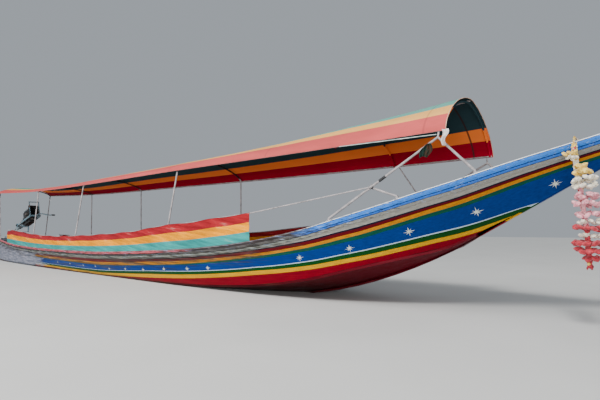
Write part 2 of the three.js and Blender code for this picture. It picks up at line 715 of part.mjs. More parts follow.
// Side curtains on the gunwale caps, and the rails along their tops
const curtainTop = (x, sign) => rowAt(CURTAIN_TOP, x)[1] - (sign > 0 ? CURTAIN_PORT_DROP : 0);
for (const [side, sign] of sides) {
  const rings = rowsBetween(hullRows, CURTAIN_FROM_X, CURTAIN_TO_X).map(([x, sheerHalf]) => {
    const low = capTop(x) + GAP;
    const high = curtainTop(x, sign);
    const foot = sheerHalf + CURTAIN_OUT;
    return [
      [x, foot, low],
      [x, foot + CURTAIN_THICK, low],
      [x, foot + CURTAIN_THICK, high],
      [x, foot, high],
    ];
  });
  addPart(`side_curtain_${side}`, loft(mirrorRings(rings, sign)), vinyl(0xd9a13c));
  const railPoint = ([x, sheerHalf]) => [x,
    (sheerHalf + CURTAIN_OUT - GAP - CURTAIN_RAIL_RADIUS) * sign, curtainTop(x, sign) - CURTAIN_RAIL_RADIUS];
  CURTAIN_RAIL_ENDS.slice(1).forEach((toX, i) => {
    const rail = rowsBetween(hullRows, CURTAIN_RAIL_ENDS[i], toX - CURTAIN_RAIL_SPLIT).map(railPoint);
    addPart(`curtain_rail_${side}_${i + 1}`, bentTube(rail, CURTAIN_RAIL_RADIUS, 8), galvanised());
  });
  const joint = strutJoint(sign);
  const start = railPoint(rowAt(hullRows, CURTAIN_TO_X));
  const head = [joint[0], joint[1] + sign * (STRUT_RADIUS + CURTAIN_RAIL_RADIUS + GAP), joint[2]];
  const past = between(start, head, 1 + RAIL_HEAD_PAST / (head[0] - start[0]));
  addPart(`curtain_stay_${side}`, bentTube([start, past], CURTAIN_RAIL_RADIUS, 8), galvanised());
}

// Stern drive, built along the shaft line and turned down to its slope about the pivot
const shaftPitch = Math.atan(SHAFT_SLOPE);
const onShaft = (geometry) => {
  geometry.rotateY(-shaftPitch);
  return geometry.translate(...PIVOT);
};

// Pedestal on the aft deck
const pedestalTop = PIVOT[2] - 250;
{
  const deckTop = hullAt(PIVOT[0]).sheerZ - AFT_DECK_DROP;
  const rise = Math.abs(hullAt(PIVOT[0] - 150).sheerZ - hullAt(PIVOT[0] + 150).sheerZ) / 2;
  const low = deckTop + GAP + rise;
  const post = box([PIVOT[0], 0, (low + pedestalTop) / 2], [POST_SIZE, POST_SIZE, pedestalTop - low]);
  const foot = box([PIVOT[0], 0, low + 20], [300, 420, 40]);
  const crown = new THREE.CylinderGeometry(90, 90, 24, 20).rotateX(Math.PI / 2)
    .translate(PIVOT[0], 0, pedestalTop - 12);
  addPart('engine_pedestal', union([post, foot, crown]), darkIron());
}

// Yoke that swivels on the pedestal and carries the trunnions
{
  const baseZ = pedestalTop + GAP;
  const base = new THREE.CylinderGeometry(85, 85, 30, 20).rotateX(Math.PI / 2)
    .translate(PIVOT[0], 0, baseZ + 15);
  const bridge = box([PIVOT[0], 0, baseZ + 30 + YOKE_PLATE / 2 - 1], [110, 2 * YOKE_HALF, YOKE_PLATE]);
  const cheeks = sides.map(([, sign]) => box(
    [PIVOT[0], sign * (YOKE_HALF - YOKE_PLATE / 2), (baseZ + 30 + PIVOT[2] + 60) / 2],
    [90, YOKE_PLATE, PIVOT[2] + 60 - baseZ - 30]));
  addPart('engine_yoke', union([base, bridge, ...cheeks]), galvanised());
}

// Cradle: two side rails, cross bars and the trunnion pins, with the frame that guards the engine
const cradleInner = YOKE_HALF - YOKE_PLATE - MOVE_GAP;
const cradleRailY = cradleInner - CRADLE_RAIL_WIDTH / 2;
{
  const length = CRADLE_FRONT - CRADLE_AFT;
  const guardAft = ENGINE_FRONT + 20;
  const pieces = [];
  for (const [, sign] of sides) {
    pieces.push(box([(CRADLE_FRONT + CRADLE_AFT) / 2, sign * cradleRailY, 0],
      [length, CRADLE_RAIL_WIDTH, CRADLE_RAIL_HEIGHT]));
    pieces.push(rod([0, sign * cradleRailY, 0], [0, sign * (cradleInner + MOVE_GAP - GAP), 0], 18, 16));
    pieces.push(rod([CRADLE_FRONT - 30, sign * cradleRailY, 0], [guardAft + 110, sign * cradleRailY, 470], 14));
  }
  pieces.push(rod([guardAft + 112, -cradleRailY - 14, 460], [guardAft + 112, cradleRailY + 14, 460], 14));
  for (const u of [CRADLE_AFT + 25, 165, CRADLE_FRONT - 25]) {
    pieces.push(box([u, 0, 0], [50, 2 * cradleRailY, CRADLE_RAIL_HEIGHT - 4]));
  }
  addPart('engine_cradle', onShaft(union(pieces)), galvanised());
}

// Engine: crankcase, head and cover as one heavy block, hung between the cradle's rails by its lugs
const lugLow = CRADLE_RAIL_HEIGHT / 2 + GAP;
{
  const length = ENGINE_FRONT - ENGINE_AFT;
  const mid = (ENGINE_FRONT + ENGINE_AFT) / 2;
  const pieces = [
    box([mid, 0, 5], [length - 130, 2 * CRANKCASE_HALF, 2 * CRANKCASE_DROP + 10]),
    box([mid - 20, 0, 215], [length - 190, 170, 180]),
    box([mid - 20, 0, 325], [length - 240, 110, 60]),
    rod([ENGINE_AFT, 0, 0], [ENGINE_AFT + 90, 0, 0], CRANKCASE_HALF - 4, 20),
    rod([ENGINE_FRONT - 80, 0, 0], [ENGINE_FRONT, 0, 0], 80, 20),
    box([mid - 180, 0, lugLow + 9], [60, 2 * cradleInner, 18]),
    box([mid + 180, 0, lugLow + 9], [60, 2 * cradleInner, 18]),
  ];
  addPart('engine_block', onShaft(union(pieces)), darkIron());
}

// Radiator that stands on the rails in front of the engine
addPart('radiator', onShaft(box([RADIATOR_AT, 0, lugLow + 170], [50, 2 * cradleInner - 20, 340])), darkIron());

// Exhaust: a pipe from the head's port side, bent up and aft
{
  const headSide = 85 + GAP;
  const at = ENGINE_AFT + 300;
  const path = [
    [at, headSide, 240],
    [at, headSide + 50, 240],
    [at - 30, headSide + 80, 270],
    [at - 110, headSide + 85, 350],
    [at - 480, headSide + 85, 420],
  ];
  addPart('exhaust', onShaft(bentTube(path, 24, 12)), darkIron());
}

// Tiller bar that comes forward from the cradle and drops to the hand
{
  const start = CRADLE_FRONT + GAP;
  const path = [[start, 0, 0], [start + 100, 0, 0], [start + 420, 0, -70], [start + 900, 0, -260],
    [TILLER_REACH, 0, -400]];
  addPart('tiller_bar', onShaft(bentTube(path, 17, 12)), galvanised());
}

// Shaft tube with its bearing blocks, stay and skeg
{
  const end = -SHAFT_LENGTH;
  const skeg = new THREE.Shape();
  skeg.moveTo(end + 640, -10);
  skeg.lineTo(end + 40, -PROPELLER_RADIUS * 0.55);
  skeg.lineTo(end - 60, -PROPELLER_RADIUS - 35);
  skeg.lineTo(end + 20, -PROPELLER_RADIUS - 45);
  skeg.lineTo(end + 260, -120);
  skeg.lineTo(end + 700, -25);
  const blade = new THREE.ExtrudeGeometry(skeg, { depth: 10, bevelEnabled: false });
  blade.rotateX(Math.PI / 2);
  blade.translate(0, 5, 0);
  const pieces = [
    rod([CRADLE_AFT - GAP, 0, 0], [end, 0, 0], SHAFT_RADIUS, 16),
    rod([CRADLE_AFT - GAP, 0, 0], [CRADLE_AFT - 120, 0, 0], SHAFT_RADIUS + 26, 16),
    rod([end, 0, 0], [end + 180, 0, 0], SHAFT_RADIUS + 10, 16),
    blade,
  ];
  addPart('shaft_tube', onShaft(union(pieces)), galvanised());
}

// Propeller: a hub with two twisted blades
{
  const start = -SHAFT_LENGTH - GAP;
  const hub = rod([start, 0, 0], [start - 110, 0, 0], 30, 16);
  const bladeFor = (turn) => {
    const rings = [20, 60, 100, 140, PROPELLER_RADIUS].map((r) => {
      const twist = Math.atan2(70, r);
      const chord = 78 * Math.sin(Math.PI * Math.min(0.93, 0.25 + 0.62 * (r / PROPELLER_RADIUS)));
      const thick = 9 - 5 * (r / PROPELLER_RADIUS);
      const corners = [[-1, -1], [1, -1], [1, 1], [-1, 1]];
      return corners.map(([a, b]) => {
        const along = (a * chord) / 2;
        const out = (b * thick) / 2;
        const u = start - 55 + along * Math.sin(twist) - out * Math.cos(twist);
        const y = along * Math.cos(twist) + out * Math.sin(twist);
        return [u, y * Math.cos(turn) - r * Math.sin(turn), y * Math.sin(turn) + r * Math.cos(turn)];
      });
    });
    return loft(rings);
  };
  addPart('propeller', onShaft(union([hub, bladeFor(0.9), bladeFor(0.9 + Math.PI)])), material(0xb08d45, 0.35, 0.9));
}

// Bow garland: a flower chain laid over both gunwales, whose starboard end hangs down beside the bow
{
  const h = hullAt(GARLAND_X);
  const side = h.sheerHalf + GUNWALE_PROUD;
  const top = h.sheerZ + GUNWALE_CAP + GARLAND_RADIUS / Math.cos(capPitch(GARLAND_X)) - 1;
  const fall = side + GARLAND_RADIUS + 20;
  const path = [
    [GARLAND_X + 95, -fall - 6, top - GARLAND_LENGTH],
    [GARLAND_X + 85, -fall - 8, top - 0.75 * GARLAND_LENGTH],
    [GARLAND_X + 45, -fall - 4, top - 0.45 * GARLAND_LENGTH],
    [GARLAND_X + 10, -fall - 2, top - 0.2 * GARLAND_LENGTH],
    [GARLAND_X, -fall, top - 70],
    [GARLAND_X, -side - 18, top],
    [GARLAND_X, -side + 20, top],
    [GARLAND_X, side - 20, top],
    [GARLAND_X, side + 18, top],
    [GARLAND_X, fall, top - 70],
    [GARLAND_X + 4, fall + 4, top - 220],
  ];
  addPart('bow_garland', bentTube(path, GARLAND_RADIUS, 8), vinyl(0xe7d9b0));
}

export default model;
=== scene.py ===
import math
import random

import bpy
from mathutils import Matrix, Vector, noise


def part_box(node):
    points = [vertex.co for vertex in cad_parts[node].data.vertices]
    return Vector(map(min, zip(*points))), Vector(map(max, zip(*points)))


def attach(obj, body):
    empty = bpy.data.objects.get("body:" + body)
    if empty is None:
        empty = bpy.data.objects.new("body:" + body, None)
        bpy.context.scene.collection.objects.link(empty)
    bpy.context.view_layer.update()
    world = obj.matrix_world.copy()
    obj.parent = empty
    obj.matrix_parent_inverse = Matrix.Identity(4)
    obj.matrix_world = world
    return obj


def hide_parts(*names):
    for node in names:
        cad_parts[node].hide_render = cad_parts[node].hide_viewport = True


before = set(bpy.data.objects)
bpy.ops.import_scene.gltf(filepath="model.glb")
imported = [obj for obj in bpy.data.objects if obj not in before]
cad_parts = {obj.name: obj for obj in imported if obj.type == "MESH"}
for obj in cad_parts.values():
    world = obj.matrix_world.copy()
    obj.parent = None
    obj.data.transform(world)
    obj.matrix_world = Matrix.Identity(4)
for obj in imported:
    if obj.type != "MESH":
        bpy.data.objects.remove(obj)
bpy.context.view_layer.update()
random.seed(7)

# Camera: a metre above the waterline off the starboard bow, level with the gunwale, looking aft along
# the boat. The lens, place and pitch come from the photograph's own vanishing points.
CAMERA_PLACE = (8.4, -5.58, 0.97)
CAMERA_LENS = 27.0
CAMERA_PITCH = math.radians(3.81)
CAMERA_HEADING = math.atan2(0.6361, 0.7716)

bpy.ops.object.camera_add(
    location=CAMERA_PLACE, rotation=(math.pi / 2 + CAMERA_PITCH, 0, CAMERA_HEADING)
)
camera = bpy.context.object
camera.data.lens = CAMERA_LENS
camera.data.sensor_width = 36.0
bpy.context.scene.camera = camera


# Side planking: long carvel planks of hardwood on each side, filled flush, undercoated and then
# brush painted by hand in lengthwise bands of oil enamel. The planks are nailed to the ribs.

# Hull lines, in metres: x, half width and height of the sheer, half width and height of the chine,
# and height of the keel line.
HULL_LINES = [
    (-8.500, 0.540, 0.725, 0.450, 0.055, -0.075),
    (-7.700, 0.680, 0.660, 0.545, 0.025, -0.115),
    (-6.450, 0.745, 0.545, 0.640, -0.010, -0.160),
    (-4.800, 0.820, 0.488, 0.720, -0.025, -0.190),
    (-3.000, 0.870, 0.474, 0.765, -0.025, -0.200),
    (-0.900, 0.910, 0.489, 0.790, -0.010, -0.200),
    (1.340, 0.945, 0.586, 0.800, 0.030, -0.180),
    (2.470, 0.940, 0.662, 0.790, 0.075, -0.130),
    (3.620, 0.935, 0.785, 0.765, 0.165, -0.040),
    (4.560, 0.930, 0.946, 0.720, 0.315, 0.115),
    (5.170, 0.915, 1.095, 0.640, 0.470, 0.280),
    (5.760, 0.890, 1.245, 0.480, 0.622, 0.488),
    (6.280, 0.830, 1.390, 0.260, 0.765, 0.720),
    (6.600, 0.770, 1.480, 0.100, 0.928, 0.893),
    (7.180, 0.580, 1.670, 0.062, 1.222, 1.220),
    (7.880, 0.330, 1.885, 0.060, 1.622, 1.620),
    (8.420, 0.150, 2.060, 0.059, 1.882, 1.880),
    (8.900, 0.075, 2.230, 0.058, 2.112, 2.110),
]
STERN_X = HULL_LINES[0][0]
BOW_X = HULL_LINES[-1][0]
PLANK_THICK = 0.028
HULL_STATIONS = 150

# Lower edge of each painted band, in metres below the sheer, at stations from the stern to the bow
BAND_X = [-8.5, -3.5, -1.0, 0.9, 3.6, 5.4, 6.4, 7.1, 7.6, 8.9]
BAND_EDGES = [
    ("grey", [0.112, 0.118, 0.122, 0.118, 0.106, 0.146, 0.142, 0.122, 0.107, 0.095]),
    # The dark line under the grey is painted shadow of the proud grey strake, not a band of enamel
    ("strake_shadow_line", [0.114, 0.120, 0.129, 0.134, 0.118, 0.164, 0.155, 0.134, 0.118, 0.104]),
    ("oxblood", [0.150, 0.170, 0.194, 0.177, 0.166, 0.205, 0.178, 0.156, 0.136, 0.118]),
    ("orange", [0.190, 0.215, 0.250, 0.237, 0.202, 0.241, 0.217, 0.185, 0.161, 0.140]),
    ("green", [0.200, 0.226, 0.262, 0.246, 0.236, 0.290, 0.252, 0.213, 0.184, 0.160]),
    ("blue", [0.330, 0.350, 0.362, 0.345, 0.359, 0.433, 0.441, 0.426, 0.425, 0.425]),
    ("pinstripe", [0.334, 0.354, 0.369, 0.352, 0.370, 0.445, 0.454, 0.433, 0.431, 0.431]),
    ("bottle", [0.380, 0.395, 0.418, 0.406, 0.414, 0.499, 0.511, 0.475, 0.472, 0.472]),
    ("yellow", [0.415, 0.432, 0.461, 0.474, 0.472, 0.552, 0.553, 0.510, 0.505, 0.505]),
    ("red", [0.470, 0.480, 0.504, 0.563, 0.625, 0.617, 0.622, 0.590, 0.585, 0.585]),
    ("maroon", [0.700, 0.700, 0.700, 0.800, 0.900, 0.900, 0.900, 0.900, 0.900, 0.900]),
]
BAND_PAINT = {
    "grey": "#8E8C85",
    # Painted shadow under the proud grey strake
    "strake_shadow_line": "#100F24",
    "oxblood": "#560710",
    "orange": "#B27208",
    "green": "#064636",
    "blue": "#002F72",
    "pinstripe": "#AFC2D2",
    "bottle": "#083C12",
    "yellow": "#C08C04",
    "red": "#700014",
    "maroon": "#480210",
}


def smooth_lines(table, x):
    """The values of a table of lines at x, on a curve through its rows."""
    last = len(table) - 2
    i = 0
    while i < last and table[i + 1][0] < x:
        i += 1
    before = table[max(i - 1, 0)]
    start = table[i]
    end = table[i + 1]
    after = table[min(i + 2, len(table) - 1)]
    span = end[0] - start[0]
    t = (x - start[0]) / span
    values = []
    for k in range(1, len(start)):
        leave = (end[k] - before[k]) / (end[0] - before[0])
        arrive = (after[k] - start[k]) / (after[0] - start[0])
        level = (1 + 2 * t) * (1 - t) ** 2 * start[k] + t * t * (3 - 2 * t) * end[k]
        turn = t * (1 - t) ** 2 * leave - t * t * (1 - t) * arrive
        values.append(level + turn * span)
    return values


def hull_at(x):
    """Half width and height of the sheer, the same of the chine, and the keel line's height at x."""
    return smooth_lines(HULL_LINES, x)


def straight_lines(stations, values, x):
    """The value at x on straight lines between the stations."""
    i = 0
    while i < len(stations) - 2 and stations[i + 1] < x:
        i += 1
    t = (x - stations[i]) / (stations[i + 1] - stations[i])
    return values[i] + (values[i + 1] - values[i]) * min(max(t, 0.0), 1.0)


def on_planking(x, drop, out=0.0):
    """The point on the starboard planking's outer face at a drop below the sheer."""
    half, sheer, chine_half, chine, keel = hull_at(x)
    share = drop / (sheer - chine)
    return Vector((x, -(half + (chine_half - half) * share + out), sheer - drop))


def pick(piece):
    """Leaves this piece alone selected and active."""
    bpy.ops.object.select_all(action="DESELECT")
    piece.select_set(True)
    bpy.context.view_layer.objects.active = piece


def shape_with(piece, kind, **settings):
    """Adds a modifier to the piece and applies it."""
    pick(piece)
    modifier = piece.modifiers.new(kind.lower(), kind)
    for key, value in settings.items():
        setattr(modifier, key, value)
    bpy.ops.object.modifier_apply(modifier=modifier.name)


def soften(piece, degrees=40):
    """Smooth shading over every edge that turns less than this."""
    pick(piece)
    bpy.ops.object.shade_smooth_by_angle(angle=math.radians(degrees))


def new_shape(name, kind, **settings):
    """One of the simple meshes that can be added, left alone selected and active."""
    bpy.ops.object.select_all(action="DESELECT")
    getattr(bpy.ops.mesh, f"primitive_{kind}_add")(**settings)
    shape = bpy.context.object
    shape.name = name
    return shape


def lay_sheet(name, along, across, place):
    """A flat grid of along by across faces, whose corners are laid at place(i, j)."""
    sheet = new_shape(name, "grid", x_subdivisions=along, y_subdivisions=across, size=2)
    for corner in sheet.data.vertices:
        i = round((corner.co.x + 1) / 2 * along)
        j = round((corner.co.y + 1) / 2 * across)
        corner.co = place(i, j)
    return sheet


def own_copy(piece, name):
    """A copy of a piece with its own mesh."""
    twin = piece.copy()
    twin.data = piece.data.copy()
    twin.name = name
    bpy.context.scene.collection.objects.link(twin)
    return twin


def other_side(piece, name):
    """A copy of a starboard piece, mirrored to port."""
    twin = own_copy(piece, name)
    twin.data.transform(Matrix.Scale(-1, 4, (0, 1, 0)))
    twin.data.flip_normals()
    return twin


def fit(piece, body, material=None, stands_for=()):
    """Puts a finished piece on its body, material and the nodes it replaces."""
    if material:
        piece.data.materials.clear()
        piece.data.materials.append(material)
    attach(piece, body)
    if stands_for:
        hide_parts(*stands_for)


def paint_colour(code):
    """An sRGB hex colour as the linear colour that the nodes take."""
    parts = [int(code[i:i + 2], 16) / 255 for i in (1, 3, 5)]
    linear = [p / 12.92 if p <= 0.04045 else ((p + 0.055) / 1.055) ** 2.4 for p in parts]
    return (*linear, 1.0)


# Inputs of a node that are set together, under one name
INPUT_GROUPS = {
    "range": ("From Min", "From Max", "To Min", "To Max"),
    "grain": ("Scale", "Detail", "Roughness"),
}


def link_inputs(tree, node, links):
    """Links inputs of a node, each to a node's first output or to a pair of a node and its output."""
    for key, source in links.items():
        source, output = source if isinstance(source, tuple) else (source, 0)
        tree.links.new(source.outputs[output], node.inputs[key])


def set_stops(ramp, stops):
    """Gives a colour ramp its (position, colour code) stops."""
    while len(ramp.elements) < len(stops):
        ramp.elements.new(0.5)
    for element, (position, code) in zip(ramp.elements, stops):
        element.position = position
        element.color = paint_colour(code)


def add_node(tree, kind, settings=None, links=None):
    """Adds a node with its settings, which are inputs, properties or a ramp's stops, and its links."""
    made = tree.nodes.new("ShaderNode" + kind)
    for key, value in (settings or {}).items():
        if key == "stops":
            set_stops(made.color_ramp, value)
        elif key == "interpolation":
            made.color_ramp.interpolation = value
        elif key in INPUT_GROUPS:
            for socket, number in zip(INPUT_GROUPS[key], value):
                made.inputs[socket].default_value = number
        elif isinstance(key, int) or key in made.inputs:
            made.inputs[key].default_value = paint_colour(value) if isinstance(value, str) else value
        else:
            setattr(made, key, value)
    link_inputs(tree, made, links or {})
    return made


def new_finish(name, **shader):
    """A new material with its shader's constant settings: it, its tree, its shader, its coordinates."""
    material = bpy.data.materials.new(name)
    material.use_nodes = True
    tree = material.node_tree
    base = tree.nodes["Principled BSDF"]
    for key, value in shader.items():
        base.inputs[key.replace("_", " ")].default_value = value
    return material, tree, base, (add_node(tree, "TexCoord"), "Object")


def mottled_finish(name, grain, stops, gloss=None, relief=None, stretch=(1.0, 1.0, 1.0), **shader):
    """A material from one noise, whose grain is its scale, detail and roughness. Gloss is the range of the
    noise and the shader's roughness over it, and relief the strength and depth of its bump, in metres."""
    finish, tree, base, coords = new_finish(name, **shader)
    stretched = add_node(tree, "Mapping", {"Scale": stretch}, {"Vector": coords})
    mottle = add_node(tree, "TexNoise", {"grain": grain}, {"Vector": stretched})
    tone = add_node(tree, "ValToRGB", {"stops": stops}, {"Fac": mottle})
    link_inputs(tree, base, {"Base Color": tone})
    if gloss:
        sheen = add_node(tree, "MapRange", {"range": gloss}, {"Value": mottle})
        link_inputs(tree, base, {"Roughness": sheen})
    if relief:
        bump = add_node(tree, "Bump", {"Strength": relief[0], "Distance": relief[1]}, {"Height": mottle})
        link_inputs(tree, base, {"Normal": bump})
    return finish


# Oil enamel, brushed on in bands: it shines forward, with brush marks along the planks. The dark line
# under the grey band is painted shadow of the proud grey strake above it. Aft the grey undercoat comes
# through in a dull, chalky patch, black grime lies on the lower bands, and scum darkens the waterline.
hull_enamel, tree, base, coords = new_finish("brushed_oil_enamel", Specular_IOR_Level=0.06)
band_place = add_node(tree, "UVMap", {"uv_map": "bands"})
band_axes = add_node(tree, "SeparateXYZ", links={"Vector": band_place})
hand_wobble_stretch = add_node(tree, "Mapping", {"Scale": (1.2, 14.0, 14.0)}, {"Vector": coords})
hand_wobble = add_node(tree, "TexNoise", {"grain": (1.0, 3.0, 0.55)}, {"Vector": hand_wobble_stretch})
wobble = add_node(tree, "MapRange", {"range": (0.3, 0.7, -0.0015, 0.0015)}, {"Value": hand_wobble})
band_level = add_node(tree, "Math", {"operation": "ADD"}, {0: (band_axes, "Y"), 1: wobble})
band_count = len(BAND_EDGES)
band_stops = [(i / band_count, BAND_PAINT[name]) for i, (name, _) in enumerate(BAND_EDGES)]
bands = add_node(tree, "ValToRGB", {"stops": band_stops, "interpolation": "CONSTANT"}, {"Fac": band_level})
fine_streaks_stretch = add_node(tree, "Mapping", {"Scale": (0.8, 30.0, 30.0)}, {"Vector": coords})
fine_streaks = add_node(tree, "TexNoise", {"grain": (1.6, 6.0, 0.65)}, {"Vector": fine_streaks_stretch})
streak_tone = add_node(tree, "MapRange", {"range": (0.3, 0.75, 0.72, 1.2)}, {"Value": fine_streaks})
streaked = add_node(tree, "HueSaturation", links={"Color": bands, "Value": streak_tone})
object_axes = add_node(tree, "SeparateXYZ", links={"Vector": coords})
stern_wear = add_node(tree, "MapRange", {"range": (-3.2, -6.6, 0.0, 0.75)}, {"Value": (object_axes, "X")})
wear_cloud_stretch = add_node(tree, "Mapping", {"Scale": (0.5, 3.0, 6.0)}, {"Vector": coords})
wear_cloud = add_node(tree, "TexNoise", {"grain": (1.9, 7.0, 0.7)}, {"Vector": wear_cloud_stretch})
wear_sum = add_node(tree, "Math", {"operation": "ADD"}, {0: stern_wear, 1: wear_cloud})
worn = add_node(tree, "MapRange", {"range": (0.74, 0.84)}, {"Value": wear_sum})
grime_along = add_node(tree, "MapRange", {"range": (6.2, 3.6)}, {"Value": (object_axes, "X")})
grime_above = add_node(tree, "MapRange", {"range": (0.62, 0.4, 0.45, 1.0)}, {"Value": band_level})
grime_reach = add_node(tree, "Math", {"operation": "MULTIPLY"}, {0: grime_along, 1: grime_above})
grime_stretch = add_node(tree, "Mapping", {"Scale": (0.45, 9.0, 16.0)}, {"Vector": coords})
grime_noise = add_node(tree, "TexNoise", {"grain": (2.1, 9.0, 0.72)}, {"Vector": grime_stretch})
grime_level = add_node(
    tree, "Math", {"operation": "MULTIPLY_ADD", 1: 0.34}, {0: grime_reach, 2: grime_noise}
)
grime_share = add_node(tree, "MapRange", {"range": (0.76, 0.9, 0.0, 0.85)}, {"Value": grime_level})
grime_colour = add_node(
    tree, "ValToRGB", {"stops": [(0.35, "#1C1A18"), (0.55, "#3A3733"), (0.68, "#6E6A66")]},
    {"Fac": fine_streaks},
)
undercoat = add_node(
    tree, "ValToRGB", {"stops": [(0.3, "#4E5464"), (0.5, "#787C8A"), (0.62, "#A09EAA"), (0.75, "#6C6A72")]},
    {"Fac": fine_streaks},
)
worn_colour = add_node(tree, "Mix", {"data_type": "RGBA"}, {0: worn, 6: streaked, 7: undercoat})
grimy_colour = add_node(
    tree, "Mix", {"data_type": "RGBA"}, {0: grime_share, 6: (worn_colour, 2), 7: grime_colour}
)
scum_line = add_node(tree, "MapRange", {"range": (0.09, 0.015)}, {"Value": (object_axes, "Z")})
scum_stretch = add_node(tree, "Mapping", {"Scale": (1.5, 4.0, 10.0)}, {"Vector": coords})
scum_noise = add_node(tree, "TexNoise", {"grain": (2.2, 5.0, 0.55)}, {"Vector": scum_stretch})
scum = add_node(tree, "Math", {"operation": "MULTIPLY"}, {0: scum_line, 1: scum_noise})
scum_share = add_node(tree, "MapRange", {"range": (0.15, 0.5, 0.0, 0.85)}, {"Value": scum})
wet_colour = add_node(
    tree, "Mix", {"data_type": "RGBA", 7: "#1A2019"}, {0: scum_share, 6: (grimy_colour, 2)}
)
gloss = add_node(tree, "MapRange", {"range": (0.4, 0.85, 0.3, 0.6)}, {"Value": wear_sum})
brush_marks_stretch = add_node(tree, "Mapping", {"Scale": (1.0, 60.0, 60.0)}, {"Vector": coords})
brush_marks = add_node(tree, "TexNoise", {"grain": (2.0, 3.0, 0.55)}, {"Vector": brush_marks_stretch})
brush_bump = add_node(tree, "Bump", {"Strength": 0.12, "Distance": 0.002}, {"Height": brush_marks})
link_inputs(tree, base, {"Base Color": (wet_colour, 2), "Roughness": gloss, "Normal": brush_bump})


def band_level_at(x, drop):
    """Where a point lies among the painted bands: 0 at the sheer, 1 under the last band."""
    above = 0.0
    for i, (_, edges) in enumerate(BAND_EDGES):
        below = straight_lines(BAND_X, edges, x)
        if drop <= below:
            return (i + (drop - above) / (below - above)) / band_count
        above = below
    return 0.999


def planking_corner(i, j):
    x = STERN_X + (BOW_X - STERN_X) * i / HULL_STATIONS
    half, sheer, chine_half, chine, keel = hull_at(x)
    drop = 0.0 if j == 0 else straight_lines(BAND_X, BAND_EDGES[(j - 1) // 2][1], x)
    if j % 2:
        above = 0.0 if j == 1 else straight_lines(BAND_X, BAND_EDGES[(j - 1) // 2 - 1][1], x)
        drop = (above + drop) / 2
    if j == 2 * band_count:
        drop = sheer - chine
    return on_planking(x, min(drop, sheer - chine))


# Inside, one thin coat of red, brushed along the planks: dull, dirty, and worn to brown where feet rub
inside_paint = mottled_finish(
    "worn_red_inside_paint", (2.0, 7.0, 0.68),
    [(0.3, "#3A0A0C"), (0.48, "#7A0C18"), (0.62, "#8E1020"), (0.74, "#4A3A30")],
    gloss=(0.3, 0.7, 0.4, 0.65), stretch=(0.7, 8.0, 12.0), Specular_IOR_Level=0.15,
)

planking = lay_sheet("side_planks_starboard", HULL_STATIONS, 2 * band_count, planking_corner)
band_map = planking.data.uv_layers[0]
band_map.name = "bands"
for loop in planking.data.loops:
    corner = planking.data.vertices[loop.vertex_index].co
    drop = hull_at(corner.x)[1] - corner.z
    band_map.data[loop.index].uv = (corner.x, band_level_at(corner.x, drop))
pick(planking)
bpy.ops.object.mode_set(mode="EDIT")
bpy.ops.mesh.select_all(action="SELECT")
bpy.ops.mesh.remove_doubles(threshold=0.0003)
bpy.ops.object.mode_set(mode="OBJECT")
if planking.data.polygons[0].normal.y > 0:
    planking.data.flip_normals()
planking.data.materials.append(hull_enamel)
planking.data.materials.append(inside_paint)
shape_with(planking, "SOLIDIFY", thickness=PLANK_THICK, offset=-1.0, material_offset=1)
soften(planking, 30)
planking_port = other_side(planking, "side_planks_port")
fit(planking, "hull", None, ["side_planking_starboard"])
fit(planking_port, "hull", None, ["side_planking_port"])


# Stars: eight-pointed stars brushed in thick white enamel along the blue band, one between each pair
# of ribs. They are paint, so each is a film a millimetre proud of the planks.
STARS = [
    (7.46, 0.295), (6.69, 0.334), (5.98, 0.356), (5.23, 0.374), (4.47, 0.337), (2.57, 0.314),
    (2.03, 0.312), (1.35, 0.314), (0.66, 0.328), (0.01, 0.322), (-0.64, 0.330), (-1.24, 0.293),
    (-1.82, 0.292), (-2.50, 0.288), (-3.20, 0.284),
]
STAR_LONG = 0.083
STAR_SHORT = 0.058
STAR_WAIST = 0.019
STAR_FLAT = 0.76
STAR_FILM = 0.0012
# The stars aft are brushed smaller: size from x
STAR_SIZE = [(-3.2, 0.55), (0.5, 0.66), (2.6, 0.76), (4.4, 0.86), (7.5, 0.86)]

# White enamel laid on thick, so that it shines more than the bands; aft it has greyed towards the blue
star_enamel, tree, base, coords = new_finish("thick_white_enamel", Specular_IOR_Level=0.3)
star_noise = add_node(tree, "TexNoise", {"grain": (24.0, 4.0, 0.55)}, {"Vector": coords})
star_tone = add_node(
    tree, "ValToRGB", {"stops": [(0.35, "#A9B2A8"), (0.6, "#D9DDD2")]}, {"Fac": star_noise}
)
star_axes = add_node(tree, "SeparateXYZ", links={"Vector": coords})
star_age = add_node(tree, "MapRange", {"range": (2.8, -2.5, 0.0, 0.75)}, {"Value": (star_axes, "X")})
aged_star = add_node(tree, "Mix", {"data_type": "RGBA", 7: "#5C7088"}, {0: star_age, 6: star_tone})
star_gloss = add_node(tree, "MapRange", {"range": (0.3, 0.7, 0.3, 0.45)}, {"Value": star_noise})
link_inputs(tree, base, {"Base Color": (aged_star, 2), "Roughness": star_gloss})


def joined(pieces, name):
    """Joins separate pieces into one object."""
    pick(pieces[0])
    for piece in pieces:
        piece.select_set(True)
    bpy.ops.object.join()
    whole = bpy.context.object
    whole.name = name
    return whole


painted_stars = []
for star_x, star_drop in STARS:
    star = new_shape("star", "circle", vertices=16, radius=1, fill_type="TRIFAN")
    smaller = smooth_lines(STAR_SIZE, star_x)[0]
    for corner in star.data.vertices:
        angle = math.atan2(corner.co.y, corner.co.x)
        point = round(angle / (math.pi / 8))
        reach = STAR_WAIST if point % 2 else (STAR_LONG if point % 4 == 0 else STAR_SHORT)
        if corner.co.length < 0.5:
            reach = 0.0
        along = smaller * reach * math.cos(angle) * random.uniform(0.9, 1.1)
        down = smaller * STAR_FLAT * reach * math.sin(angle) * random.uniform(0.85, 1.05)
        corner.co = on_planking(star_x + along, star_drop + down, STAR_FILM)
    if star.data.polygons[0].normal.y > 0:
        star.data.flip_normals()
    painted_stars.append(star)
stars = joined(painted_stars, "stars_starboard")
shape_with(stars, "SOLIDIFY", thickness=STAR_FILM * 0.7, offset=-1.0)
stars_port = other_side(stars, "stars_port")
fit(stars, "hull", star_enamel)
